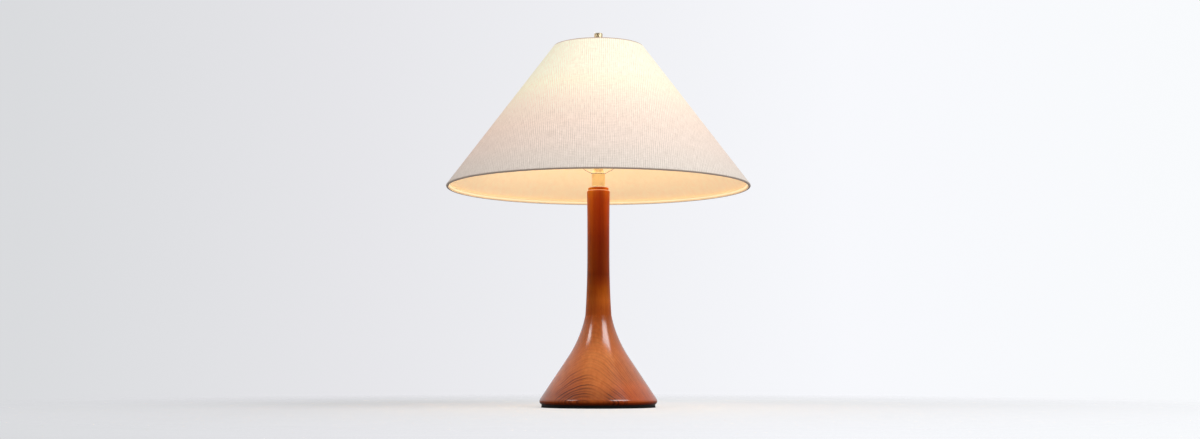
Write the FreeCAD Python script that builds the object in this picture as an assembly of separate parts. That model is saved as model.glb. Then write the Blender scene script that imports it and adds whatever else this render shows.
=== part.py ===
"""Table lamp with a turned wooden column, a wide linen cone shade on a harp, and a screw-base bulb.

The frame has +Z up, with the origin at the centre of the felt's underside. The front is towards -Y,
the harp stands in the XZ plane, and the lead's inlet is at the back. All sizes are millimetres.
"""

import FreeCAD
import Part

import math
import os

V = FreeCAD.Vector

# ---------------------------------------------------------------- driving dimensions

# Fits between pieces
REST_GAP = 0.05  # between a moving piece and the face that it rests on
TURN_CLEARANCE = 0.08  # radial, round whatever turns or slides
BORE_CLEARANCE = 0.3  # radial, round the threaded pipe in whatever is clamped on it
GLUE_GAP = 0.1  # round a glued or pressed joint
PIECE_GAP = 0.2  # between sheet-metal and moulded pieces that nest

# Felt and closing plate under the foot
FELT_THICKNESS = 2.0
FELT_INSET = 0.2  # inside the wooden foot's edge
PLATE_THICKNESS = 3.3
PLATE_INSET = 0.5
PLATE_SCREW_COUNT = 3
PLATE_SCREW_INSET = 10.0  # of the screws' circle from the plate's edge
PLATE_SCREW_R = 1.8
PLATE_SCREW_LENGTH = 14.0
PLATE_SCREW_HEAD_R = 3.6
PLATE_SCREW_HEAD_HEIGHT = 2.0

# Wooden foot: heights are taken from its underside
FOOT_HEIGHT = 146.7  # to the seam with the column
FOOT_R = 94.5
FLANK_BOTTOM_R = 96.3  # where the rounded edge meets the straight flank
FLANK_BOTTOM_HEIGHT = 8.7
FLANK_TOP_R = 50.9  # where the straight flank starts to curve in
FLANK_TOP_HEIGHT = 76.7
POCKET_R = 74.0  # the hollow for the weight
POCKET_DEPTH = 27.7
MORTISE_SPARE = 1.0  # depth of the mortise past the tenon's end

# Wooden column: heights are taken from the seam
COLUMN_LENGTH = 206.4  # to the shoulder's lower edge
WAIST_R = 18.5
WAIST_START = 98.0
WAIST_END = 138.0
COLUMN_FOOT_SWELL = 3.2  # the seam's radius past the waist's
COLUMN_TOP_SWELL = 0.65
SHOULDER_RISE = 2.6  # the bevel under the lip
LIP_R = 17.2
LIP_HEIGHT = 3.9
LIP_EDGE = 0.7  # the bevel on its top
TENON_R = 11.0
TENON_LENGTH = 40.0

# Weight, threaded pipe and what clamps them
WEIGHT_CLEARANCE = 2.0  # radial, in the pocket
WEIGHT_THICKNESS = 13.0
WEIGHT_BEVEL = 2.0
PIPE_R = 4.95
PIPE_HOLE_R = 3.3
PIPE_TAIL = 1.7  # past the nut
WEIGHT_WASHER_R = 16.0
WEIGHT_WASHER_THICKNESS = 1.6
LOCK_WASHER_R = 8.2
LOCK_WASHER_THICKNESS = 1.2
LOCK_WASHER_SPLIT = 1.5
PIPE_NUT_FLATS = 17.0
PIPE_NUT_HEIGHT = 4.0
NUT_SIDES = 6
NUT_BEVEL_ANGLE = 30.0  # of the turned corners, from the face

# Inlet for the lead, through the back of the foot
INLET_HEIGHT = 8.2  # of its axis over the wood's underside
INLET_HOLE_R = 3.4
BUSHING_WALL = 1.5
BUSHING_FLANGE_R = 6.0
BUSHING_FLANGE_THICKNESS = 1.8
SPOT_FACE_INSET = 3.0  # of the flat that the flange sits on, inside the foot's edge
SPOT_FACE_CLEARANCE = 0.3

# Brass neck between the column and the harp's saddle
NECK_RING_R = 12.0
NECK_RING_HEIGHT = 3.0
NECK_RING_EDGE = 0.8
NECK_SPIGOT_HEIGHT = 1.0  # of the ring, inside the tube
NECK_R = 11.3
NECK_WALL = 1.0
NECK_LENGTH = 20.0
SEAT_WASHER_INSET = 0.4  # of its edge inside the tube's
SEAT_WASHER_THICKNESS = 0.8

# Harp: saddle, posts, sleeves and wire
SADDLE_THICKNESS = 1.6
SADDLE_DISC_R = 10.4
SADDLE_ARM_WIDTH = 8.0
SADDLE_FLAT = 10.0  # from the axis to the first bend
SADDLE_HALF_SPAN = 26.5  # from the axis to a post
SADDLE_ARM_RISE = 20.5  # from the underside to the foot of a post
SADDLE_LEAN = 8.5  # height at which an arm turns upright
SADDLE_INNER_BEND = 9.0
SADDLE_OUTER_BEND = 8.0
SADDLE_NUT_FLATS = 15.9
SADDLE_NUT_HEIGHT = 3.2
POST_R = 2.3
POST_HEIGHT = 8.5
POST_COLLAR_R = 3.9
POST_COLLAR_HEIGHT = 1.8
SLEEVE_WALL = 1.3
SLEEVE_LENGTH = 15.0
SLEEVE_EDGE = 0.5
SLEEVE_LIFT = 14.0
HARP_WIRE_R = 2.0
HARP_HEIGHT = 215.9  # from the saddle's underside to the spider's seat
HARP_HALF_WIDTH = 57.0
HARP_FLARE_START = 12.0  # over the top of a lifted sleeve
HARP_FLARE_RISE = 38.0
HARP_FLARE_BEND = 22.0
HARP_SIDE_BEND = 30.0
HARP_TOP_BEND = 47.0
EYELET_R = 7.0
EYELET_HEIGHT = 5.4
EYELET_EDGE = 0.8

# Swivel stud that carries the shade, and the finial
STUD_R = 3.1
STUD_FLANGE_R = 8.0
STUD_FLANGE_THICKNESS = 1.9
STUD_HEAD_R = 4.8
STUD_HEAD_HEIGHT = 1.8
STUD_THREAD_LENGTH = 13.0  # over the flange
FINIAL_HEIGHT = 22.0
FINIAL_R = 7.1
FINIAL_FLANGE_R = 8.0
FINIAL_FLANGE_HEIGHT = 1.8
FINIAL_GROOVE_R = 5.6
FINIAL_GROOVE_HEIGHT = 1.8
FINIAL_EDGE = 0.7
FINIAL_BORE_SPARE = 1.0  # depth of the bore past the stud's end

# Shade: outer sizes over the rolled fabric
SHADE_BOTTOM_R = 254.0
SHADE_TOP_R = 76.5
SHADE_HEIGHT = 241.5
SHADE_DROP = 0.8  # of the shade's top edge under the top face of the spider's washer
FABRIC_THICKNESS = 0.6
LINER_THICKNESS = 0.5
LINER_GAP = 3.0  # from a ring wire's centre to the liner's edge
RING_WIRE_R = 1.5
RING_WIRE_SIDES = 8
ROLL_SIDES = 4  # flats of the fabric round a ring wire
FLAP_LENGTH = 7.0  # of the fabric turned in behind each ring
SEAM_WIDTH = 11.0  # of the overlap down the back
SEAM_RELIEF = 0.4  # that the overlap stands out
SEAM_MARGIN = 6.0  # from each ring wire's centre
SPIDER_WASHER_R = 12.0
SPIDER_WASHER_THICKNESS = 1.5
SPIDER_HOLE_CLEARANCE = 0.4
SPIDER_ARM_COUNT = 3
SPIDER_ARM_R = 1.5
SPIDER_ARM_LAP = 1.5  # that an arm reaches in under the washer's edge

# Lampholder
CAP_HUB_R = 8.0
CAP_HUB_HEIGHT = 5.5
CAP_DOME_HEIGHT = 9.5
CAP_SKIRT_HEIGHT = 4.5
CAP_WALL = 0.8
DOME_BANDS = 4  # flats in place of the dome's curve
SET_SCREW_R = 1.5
SET_SCREW_LENGTH = 5.0
SET_SCREW_CLEARANCE = 0.1  # radial, in its hole
SET_SCREW_HEIGHT = 2.8  # over the hub's foot
SHELL_R = 17.0
SHELL_WALL = 0.5
SHELL_HEIGHT = 40.0
SHELL_BEAD_RISE = 0.7  # of the bead at its mouth, out of its wall
SHELL_BEAD_HEIGHT = 2.1
INSULATOR_WALL = 0.8
INSULATOR_INSET = 1.5  # of its ends inside the shell
CORE_HEIGHT = 14.0
CORE_HOLE_R = 3.5
THREAD_SHELL_WALL = 0.5
THREAD_SHELL_HEIGHT = 19.0
THREAD_SHELL_FLOOR_R = 9.0  # of the hole in its floor
CONTACT_WIDTH = 6.0
CONTACT_THICKNESS = 0.5
CONTACT_RISE = 2.2
CONTACT_FOOT = -7.0  # along the tongue, from the axis
CONTACT_LOW_BEND = -4.0
CONTACT_HIGH_BEND = 2.0
CONTACT_END = 6.0
TERMINAL_R = 2.6
TERMINAL_HEAD_HEIGHT = 1.2
TERMINAL_SHANK_R = 1.4
TERMINAL_SHANK_LENGTH = 5.0
TERMINAL_HEIGHT = 7.0  # over the core's foot
SWITCH_HEIGHT = 9.0  # over the core's foot
SWITCH_SHAFT_R = 1.6
SWITCH_SHAFT_DEPTH = 7.0  # into the core
SWITCH_HOLE_CLEARANCE = 0.5
KNOB_STANDOFF = 3.0  # from the shell
KNOB_LENGTH = 14.0
KNOB_HUB_R = 3.4
KNOB_HUB_LENGTH = 4.0
KNOB_WIDTH = 13.0
KNOB_THICKNESS = 4.6
KNOB_EDGE = 1.2
KNOB_RIB_COUNT = 4  # on each face
KNOB_RIB_HEIGHT = 0.5
KNOB_RIB_WIDTH = 1.6
KNOB_RIB_PITCH = 2.4

# Bulb with a 26 mm screw base
BULB_R = 30.0
BULB_LENGTH = 109.0
BULB_WALL = 0.8
BULB_BANDS = 7  # flats in place of each of the glass's curves
BULB_NECK_R = 13.4
BULB_NECK_ANGLE = 36.0  # below the widest point, where the globe runs into the neck
BULB_NECK_BEND = 16.0
BULB_CAP_R = 13.0
BULB_CAP_LENGTH = 20.0
BULB_CAP_WALL = 0.5
BULB_INSULATOR_HEIGHT = 4.0
BULB_INSULATOR_TOP_R = 9.5
BULB_TIP_R = 4.6
BULB_TIP_HEIGHT = 1.2
BULB_TIP_EDGE = 0.8
MOUNT_FLARE_HEIGHT = 14.0  # of the inner glass mount, which is sealed into the neck
MOUNT_ROD_R = 2.4
MOUNT_ROD_HEIGHT = 42.0  # over the bulb cap's top
FILAMENT_R = 0.4
FILAMENT_HALF_SPAN = 11.0
FILAMENT_RISE = 9.0

# ---------------------------------------------------------------- heights that follow from them

WOOD_Z = FELT_THICKNESS + PLATE_THICKNESS
SEAM_Z = WOOD_Z + FOOT_HEIGHT
SHOULDER_Z = SEAM_Z + COLUMN_LENGTH
LIP_Z = SHOULDER_Z + SHOULDER_RISE
COLUMN_TOP_Z = LIP_Z + LIP_HEIGHT
TENON_Z = SEAM_Z - TENON_LENGTH
POCKET_TOP_Z = WOOD_Z + POCKET_DEPTH
WEIGHT_Z = POCKET_TOP_Z - WEIGHT_THICKNESS
WEIGHT_WASHER_Z = WEIGHT_Z - WEIGHT_WASHER_THICKNESS
LOCK_WASHER_Z = WEIGHT_WASHER_Z - LOCK_WASHER_THICKNESS
PIPE_NUT_Z = LOCK_WASHER_Z - PIPE_NUT_HEIGHT
PIPE_BOTTOM_Z = PIPE_NUT_Z - PIPE_TAIL
INLET_Z = WOOD_Z + INLET_HEIGHT
NECK_Z = COLUMN_TOP_Z + NECK_RING_HEIGHT
NECK_TOP_Z = NECK_Z + NECK_LENGTH
SADDLE_Z = NECK_TOP_Z + SEAT_WASHER_THICKNESS
SADDLE_TOP_Z = SADDLE_Z + SADDLE_THICKNESS
CAP_Z = SADDLE_TOP_Z + SADDLE_NUT_HEIGHT
PIPE_TOP_Z = CAP_Z + CAP_HUB_HEIGHT
DOME_TOP_Z = PIPE_TOP_Z + CAP_DOME_HEIGHT
SHELL_TOP_Z = DOME_TOP_Z + SHELL_HEIGHT
CORE_TOP_Z = DOME_TOP_Z + CORE_HEIGHT
SWITCH_Z = DOME_TOP_Z + SWITCH_HEIGHT
POST_FOOT_Z = SADDLE_Z + SADDLE_ARM_RISE
SLEEVE_SEAT_Z = POST_FOOT_Z + POST_COLLAR_HEIGHT
POST_TOP_Z = SLEEVE_SEAT_Z + POST_HEIGHT
SPIDER_SEAT_Z = SADDLE_Z + HARP_HEIGHT
EYELET_TOP_Z = SPIDER_SEAT_Z - STUD_FLANGE_THICKNESS - REST_GAP
EYELET_Z = EYELET_TOP_Z - EYELET_HEIGHT
WASHER_Z = SPIDER_SEAT_Z + REST_GAP
WASHER_TOP_Z = WASHER_Z + SPIDER_WASHER_THICKNESS
FINIAL_Z = WASHER_TOP_Z + REST_GAP
BULB_Z = CORE_TOP_Z + CONTACT_RISE + CONTACT_THICKNESS + REST_GAP
BULB_CAP_Z = BULB_Z + BULB_TIP_HEIGHT + BULB_INSULATOR_HEIGHT
BULB_CAP_TOP_Z = BULB_CAP_Z + BULB_CAP_LENGTH

# Radii that follow from them
PIPE_WAY_R = PIPE_R + BORE_CLEARANCE
COLUMN_FOOT_R = WAIST_R + COLUMN_FOOT_SWELL
COLUMN_TOP_R = WAIST_R + COLUMN_TOP_SWELL
SLEEVE_BORE_R = POST_R + TURN_CLEARANCE
STUD_BORE_R = STUD_R + TURN_CLEARANCE
INSULATOR_R = SHELL_R - SHELL_WALL - PIECE_GAP
CORE_R = INSULATOR_R - INSULATOR_WALL - PIECE_GAP
CAP_R = SHELL_R + PIECE_GAP + CAP_WALL
THREAD_SHELL_BORE_R = BULB_CAP_R + TURN_CLEARANCE
BUSHING_R = INLET_HOLE_R + BUSHING_WALL
SPOT_FACE_Y = FOOT_R - SPOT_FACE_INSET
PLATE_R = FOOT_R - PLATE_INSET
PLATE_SCREW_CIRCLE_R = PLATE_R - PLATE_SCREW_INSET

# The shade's cone: the ring wires' centres, and the directions along and out of its slant
ROLL_INNER_R = RING_WIRE_R + GLUE_GAP
ROLL_R = ROLL_INNER_R + FABRIC_THICKNESS
TOP_RING = V(SHADE_TOP_R - ROLL_R, 0, WASHER_TOP_Z - SHADE_DROP - ROLL_R)
BOTTOM_RING = V(SHADE_BOTTOM_R - ROLL_R, 0, TOP_RING.z - SHADE_HEIGHT + 2 * ROLL_R)
UP_SLANT = (TOP_RING - BOTTOM_RING).normalize()
OUT_OF_SLANT = V(UP_SLANT.z, 0, -UP_SLANT.x)

# Turns round Z from +X, in degrees
BACK = 90
FRONT = 270

AXIS_X = V(1, 0, 0)
AXIS_Y = V(0, 1, 0)
AXIS_Z = V(0, 0, 1)


# ---------------------------------------------------------------- drawing helpers


def cylinder(radius, z_low, z_high, x=0.0, y=0.0):
    return Part.makeCylinder(radius, z_high - z_low, V(x, y, z_low), AXIS_Z)


def tube(outer_r, inner_r, z_low, z_high, x=0.0, y=0.0):
    return cylinder(outer_r, z_low, z_high, x, y).cut(cylinder(inner_r, z_low, z_high, x, y))


def rod_along_y(radius, y_low, y_high, z):
    return Part.makeCylinder(radius, y_high - y_low, V(0, y_low, z), AXIS_Y)


def centred_box(size_x, size_y, z_low, z_high):
    return Part.makeBox(size_x, size_y, z_high - z_low, V(-size_x / 2, -size_y / 2, z_low))


def arc(start, middle, end):
    return Part.Arc(start, middle, end).toShape()


def arc_leaving(start, direction, end):
    """The arc that leaves start along direction and reaches end, all in the XZ plane."""
    chord = end - start
    ahead = V(direction).normalize()
    side = V(-ahead.z, 0, ahead.x)
    lean = math.atan2(chord.dot(side), chord.dot(ahead)) / 2
    reach = chord.Length / (2 * math.cos(lean))
    middle = start + (ahead * math.cos(lean) + side * math.sin(lean)) * reach
    return arc(start, middle, end)


def straight_edges(points):
    """Edges through (radius, height) pairs, one after the other."""
    corners = [V(radius, 0, height) for radius, height in points]
    return [Part.makeLine(start, end) for start, end in zip(corners, corners[1:])]


def turned(edges):
    """The solid that a closed outline in the radius-height plane sweeps round the Z axis."""
    outline = Part.Wire(Part.__sortEdges__(edges))
    return Part.Face(outline).revolve(V(0, 0, 0), AXIS_Z, 360)


def turned_outline(points):
    return turned(straight_edges(points + points[:1]))


def banded(path, bands):
    """Corners (x, z) along a path in the XZ plane, with each arc cut into so many flats.

    A turned flat is a plain cone, which takes far fewer facets than a turned arc.
    """
    corners = []
    for edge in path:
        is_line = isinstance(edge.Curve, Part.Line)
        points = edge.discretize(Number=2 if is_line else bands + 1)
        if corners and (points[0] - corners[-1]).Length > (points[-1] - corners[-1]).Length:
            points.reverse()
        corners += points[1:] if corners else points
    return [(corner.x, corner.z) for corner in corners]


def rounded_path(points, bends):
    """Straight runs through points, with an arc of the given radius at each inner one."""
    edges = []
    here = points[0]
    for corner, bend, ahead in zip(points[1:-1], bends, points[2:]):
        back = (here - corner).normalize()
        on = (ahead - corner).normalize()
        half_angle = back.getAngle(on) / 2
        reach = bend / math.tan(half_angle)
        inward = (back + on).normalize()
        start = corner + back * reach
        end = corner + on * reach
        middle = corner + inward * (bend / math.sin(half_angle) - bend)
        edges.append(Part.makeLine(here, start))
        edges.append(arc(start, middle, end))
        here = end
    edges.append(Part.makeLine(here, points[-1]))
    return edges


def wire_along(path_edges, radius):
    """A round wire whose centre follows the path."""
    path = Part.Wire(path_edges)
    start = path_edges[0].Vertexes[0].Point
    direction = path_edges[0].tangentAt(path_edges[0].FirstParameter)
    section = Part.Wire(Part.makeCircle(radius, start, direction))
    return path.makePipeShell([section], True, False)


def strip_along(path_edges, width, thickness):
    """A flat strip whose middle follows a path in the XZ plane, as wide in Y as given."""
    path = Part.Wire(path_edges)
    start = path_edges[0].Vertexes[0].Point
    direction = path_edges[0].tangentAt(path_edges[0].FirstParameter)
    across = AXIS_Y * (width / 2)
    through = direction.cross(AXIS_Y) * (thickness / 2)
    corners = [
        start + across + through,
        start - across + through,
        start - across - through,
        start + across - through,
    ]
    section = Part.makePolygon(corners + corners[:1])
    return path.makePipeShell([section], True, False)


def mirrored_in_x(shape):
    return shape.mirror(V(0, 0, 0), AXIS_X)


def hex_nut(flats, bore_r, z_low, z_high):
    """A hexagon nut on the axis, with the corners of both faces turned off."""
    corner_r = flats / math.sqrt(3)
    corners = []
    for k in range(NUT_SIDES):
        angle = 2 * math.pi * k / NUT_SIDES
        corners.append(V(corner_r * math.cos(angle), corner_r * math.sin(angle), z_low))
    prism = Part.Face(Part.makePolygon(corners + corners[:1])).extrude(AXIS_Z * (z_high - z_low))
    corner_drop = (corner_r - flats / 2) * math.tan(math.radians(NUT_BEVEL_ANGLE))
    blank = turned_outline([
        (bore_r, z_low),
        (flats / 2, z_low),
        (corner_r, z_low + corner_drop),
        (corner_r, z_high - corner_drop),
        (flats / 2, z_high),
        (bore_r, z_high),
    ])
    return prism.common(blank)


def plate_screw_places():
    """The closing plate's screws, evenly round the foot, with none under the lead's inlet."""
    places = []
    for k in range(PLATE_SCREW_COUNT):
        turn = math.radians(FRONT + 360 * k / PLATE_SCREW_COUNT)
        places.append((PLATE_SCREW_CIRCLE_R * math.cos(turn), PLATE_SCREW_CIRCLE_R * math.sin(turn)))
    return places


def plate_screw(x, y, clearance):
    """A countersunk screw, or with a clearance the hole for it."""
    head_z = FELT_THICKNESS + PLATE_SCREW_HEAD_HEIGHT
    head_r = PLATE_SCREW_HEAD_R + clearance
    shank_r = PLATE_SCREW_R + clearance
    head = Part.makeCone(head_r, shank_r, PLATE_SCREW_HEAD_HEIGHT, V(x, y, FELT_THICKNESS), AXIS_Z)
    shank = cylinder(shank_r, head_z, FELT_THICKNESS + PLATE_SCREW_LENGTH + clearance, x, y)
    return head.fuse(shank)


# ---------------------------------------------------------------- foot, column and what holds them


def felt_pad():
    return cylinder(FOOT_R - FELT_INSET, 0, FELT_THICKNESS)


def closing_plate():
    plate = cylinder(PLATE_R, FELT_THICKNESS, WOOD_Z)
    return plate.cut([plate_screw(x, y, GLUE_GAP) for x, y in plate_screw_places()])


def plate_screws():
    return Part.makeCompound([plate_screw(x, y, 0) for x, y in plate_screw_places()])


def wood_foot():
    """The flared foot: a rounded edge, a straight flank, and a sweep up to the column."""
    edge_bottom = V(FOOT_R, 0, WOOD_Z)
    flank_bottom = V(FLANK_BOTTOM_R, 0, WOOD_Z + FLANK_BOTTOM_HEIGHT)
    flank_top = V(FLANK_TOP_R, 0, WOOD_Z + FLANK_TOP_HEIGHT)
    seam = V(COLUMN_FOOT_R, 0, SEAM_Z)
    flank = flank_top - flank_bottom
    mortise_r = TENON_R + GLUE_GAP
    mortise_z = TENON_Z - MORTISE_SPARE
    outside = [
        arc_leaving(flank_bottom, flank * -1, edge_bottom),
        Part.makeLine(flank_bottom, flank_top),
        arc_leaving(flank_top, flank, seam),
    ]
    inside = straight_edges([
        (COLUMN_FOOT_R, SEAM_Z),
        (mortise_r, SEAM_Z),
        (mortise_r, mortise_z),
        (PIPE_WAY_R, mortise_z),
        (PIPE_WAY_R, POCKET_TOP_Z),
        (POCKET_R, POCKET_TOP_Z),
        (POCKET_R, WOOD_Z),
        (FOOT_R, WOOD_Z),
    ])
    foot = turned(outside + inside)
    spot_face_r = BUSHING_FLANGE_R + SPOT_FACE_CLEARANCE
    spot_face = rod_along_y(spot_face_r, SPOT_FACE_Y, SPOT_FACE_Y + FOOT_R, INLET_Z)
    inlet = rod_along_y(BUSHING_R + GLUE_GAP, 0, SPOT_FACE_Y, INLET_Z)
    screw_holes = [plate_screw(x, y, GLUE_GAP) for x, y in plate_screw_places()]
    return foot.cut([spot_face, inlet] + screw_holes)


def wood_column():
    """The column: a slightly waisted shaft with a bevelled shoulder, a lip, and a tenon in the foot."""
    seam = V(COLUMN_FOOT_R, 0, SEAM_Z)
    waist_low = V(WAIST_R, 0, SEAM_Z + WAIST_START)
    waist_high = V(WAIST_R, 0, SEAM_Z + WAIST_END)
    shoulder = V(COLUMN_TOP_R, 0, SHOULDER_Z)
    shaft = [
        arc_leaving(waist_low, AXIS_Z * -1, seam),
        Part.makeLine(waist_low, waist_high),
        arc_leaving(waist_high, AXIS_Z, shoulder),
    ]
    rest = straight_edges([
        (COLUMN_TOP_R, SHOULDER_Z),
        (LIP_R, LIP_Z),
        (LIP_R, COLUMN_TOP_Z - LIP_EDGE),
        (LIP_R - LIP_EDGE, COLUMN_TOP_Z),
        (PIPE_WAY_R, COLUMN_TOP_Z),
        (PIPE_WAY_R, TENON_Z),
        (TENON_R, TENON_Z),
        (TENON_R, SEAM_Z),
        (COLUMN_FOOT_R, SEAM_Z),
    ])
    return turned(shaft + rest)


def foot_weight():
    outer_r = POCKET_R - WEIGHT_CLEARANCE
    return turned_outline([
        (PIPE_WAY_R, WEIGHT_Z),
        (outer_r - WEIGHT_BEVEL, WEIGHT_Z),
        (outer_r, WEIGHT_Z + WEIGHT_BEVEL),
        (outer_r, POCKET_TOP_Z),
        (PIPE_WAY_R, POCKET_TOP_Z),
    ])


def weight_washer():
    return tube(WEIGHT_WASHER_R, PIPE_WAY_R, WEIGHT_WASHER_Z, WEIGHT_Z)


def lock_washer():
    """A spring washer, sawn through at the front."""
    ring = tube(LOCK_WASHER_R, PIPE_WAY_R, LOCK_WASHER_Z, WEIGHT_WASHER_Z)
    corner = V(-LOCK_WASHER_SPLIT / 2, -LOCK_WASHER_R, LOCK_WASHER_Z)
    return ring.cut(Part.makeBox(LOCK_WASHER_SPLIT, LOCK_WASHER_R, LOCK_WASHER_THICKNESS, corner))


def pipe_nut():
    return hex_nut(PIPE_NUT_FLATS, PIPE_WAY_R, PIPE_NUT_Z, LOCK_WASHER_Z)


def threaded_pipe():
    return tube(PIPE_R, PIPE_HOLE_R, PIPE_BOTTOM_Z, PIPE_TOP_Z)


def inlet_bushing():
    """A flanged bush through the foot's wall, for a lead that is fitted later."""
    barrel = rod_along_y(BUSHING_R, POCKET_R, SPOT_FACE_Y, INLET_Z)
    flange = rod_along_y(BUSHING_FLANGE_R, SPOT_FACE_Y, SPOT_FACE_Y + BUSHING_FLANGE_THICKNESS, INLET_Z)
    hole = rod_along_y(INLET_HOLE_R, 0, SPOT_FACE_Y + BUSHING_FLANGE_THICKNESS, INLET_Z)
    return barrel.fuse(flange).cut(hole).removeSplitter()


# ---------------------------------------------------------------- neck and harp


def neck_ring():
    """The seating ring on the column's top, with a spigot that centres the neck."""
    spigot_r = NECK_R - NECK_WALL - GLUE_GAP
    return turned_outline([
        (PIPE_WAY_R, COLUMN_TOP_Z),
        (NECK_RING_R, COLUMN_TOP_Z),
        (NECK_RING_R, NECK_Z - NECK_RING_EDGE),
        (NECK_RING_R - NECK_RING_EDGE, NECK_Z),
        (spigot_r, NECK_Z),
        (spigot_r, NECK_Z + NECK_SPIGOT_HEIGHT),
        (PIPE_WAY_R, NECK_Z + NECK_SPIGOT_HEIGHT),
    ])


def neck_tube():
    return tube(NECK_R, NECK_R - NECK_WALL, NECK_Z, NECK_TOP_Z)


def seat_washer():
    return tube(NECK_R - SEAT_WASHER_INSET, PIPE_WAY_R, NECK_TOP_Z, SADDLE_Z)


def harp_saddle():
    """The strip that holds the harp: a disc on the pipe, and two bent arms with a post on each."""
    middle_z = SADDLE_Z + SADDLE_THICKNESS / 2
    arm_path = rounded_path(
        [
            V(0, 0, middle_z),
            V(SADDLE_FLAT, 0, middle_z),
            V(SADDLE_HALF_SPAN, 0, middle_z + SADDLE_LEAN),
            V(SADDLE_HALF_SPAN, 0, POST_FOOT_Z),
        ],
        [SADDLE_INNER_BEND, SADDLE_OUTER_BEND],
    )
    arm = strip_along(arm_path, SADDLE_ARM_WIDTH, SADDLE_THICKNESS)
    collar = cylinder(POST_COLLAR_R, POST_FOOT_Z, SLEEVE_SEAT_Z, SADDLE_HALF_SPAN)
    post = cylinder(POST_R, POST_FOOT_Z, POST_TOP_Z, SADDLE_HALF_SPAN)
    side = arm.fuse([collar, post])
    disc = cylinder(SADDLE_DISC_R, SADDLE_Z, SADDLE_TOP_Z)
    saddle = disc.fuse([side, mirrored_in_x(side)])
    return saddle.cut(cylinder(PIPE_WAY_R, SADDLE_Z, SADDLE_TOP_Z)).removeSplitter()


def saddle_nut():
    return hex_nut(SADDLE_NUT_FLATS, PIPE_WAY_R, SADDLE_TOP_Z, CAP_Z)


def harp_wire():
    """The harp: one wire up both sides, pressed into an eyelet at the top for the swivel stud."""
    eyelet_middle_z = EYELET_Z + EYELET_HEIGHT / 2
    flare_z = SLEEVE_SEAT_Z + SLEEVE_LENGTH + SLEEVE_LIFT + HARP_FLARE_START
    path = rounded_path(
        [
            V(SADDLE_HALF_SPAN, 0, POST_TOP_Z),
            V(SADDLE_HALF_SPAN, 0, flare_z),
            V(HARP_HALF_WIDTH, 0, flare_z + HARP_FLARE_RISE),
            V(HARP_HALF_WIDTH, 0, eyelet_middle_z),
            V(EYELET_R - EYELET_EDGE, 0, eyelet_middle_z),
        ],
        [HARP_FLARE_BEND, HARP_SIDE_BEND, HARP_TOP_BEND],
    )
    side = wire_along(path, HARP_WIRE_R)
    eyelet = turned_outline([
        (STUD_BORE_R, EYELET_Z),
        (EYELET_R - EYELET_EDGE, EYELET_Z),
        (EYELET_R, EYELET_Z + EYELET_EDGE),
        (EYELET_R, EYELET_TOP_Z - EYELET_EDGE),
        (EYELET_R - EYELET_EDGE, EYELET_TOP_Z),
        (STUD_BORE_R, EYELET_TOP_Z),
    ])
    return eyelet.fuse([side, mirrored_in_x(side)]).removeSplitter()


def harp_sleeve(x):
    """A sleeve that slides down over a post and locks the harp's end on it."""
    sleeve = turned_outline([
        (SLEEVE_BORE_R, SLEEVE_SEAT_Z + REST_GAP),
        (SLEEVE_BORE_R + SLEEVE_WALL - SLEEVE_EDGE, SLEEVE_SEAT_Z + REST_GAP),
        (SLEEVE_BORE_R + SLEEVE_WALL, SLEEVE_SEAT_Z + REST_GAP + SLEEVE_EDGE),
        (SLEEVE_BORE_R + SLEEVE_WALL, SLEEVE_SEAT_Z + SLEEVE_LENGTH - SLEEVE_EDGE),
        (SLEEVE_BORE_R + SLEEVE_WALL - SLEEVE_EDGE, SLEEVE_SEAT_Z + SLEEVE_LENGTH),
        (SLEEVE_BORE_R, SLEEVE_SEAT_Z + SLEEVE_LENGTH),
    ])
    sleeve.translate(V(x, 0, 0))
    return sleeve


def harp_sleeve_right():
    return harp_sleeve(SADDLE_HALF_SPAN)


def harp_sleeve_left():
    return harp_sleeve(-SADDLE_HALF_SPAN)


def swivel_stud():
    """The stud that turns in the eyelet: a riveted head, a flange for the shade, and a threaded end."""
    head_top_z = EYELET_Z - REST_GAP
    return turned_outline([
        (0, head_top_z - STUD_HEAD_HEIGHT),
        (STUD_HEAD_R, head_top_z - STUD_HEAD_HEIGHT),
        (STUD_HEAD_R, head_top_z),
        (STUD_R, head_top_z),
        (STUD_R, EYELET_TOP_Z + REST_GAP),
        (STUD_FLANGE_R, EYELET_TOP_Z + REST_GAP),
        (STUD_FLANGE_R, SPIDER_SEAT_Z),
        (STUD_R, SPIDER_SEAT_Z),
        (STUD_R, SPIDER_SEAT_Z + STUD_THREAD_LENGTH),
        (0, SPIDER_SEAT_Z + STUD_THREAD_LENGTH),
    ])


# ---------------------------------------------------------------- shade and finial


def slant_point(ring, inwards, along, out):
    """A point by a ring wire's centre, so far along the slant from it and so far out of the slant."""
    return ring + UP_SLANT * (along * inwards) + OUT_OF_SLANT * out


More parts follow.
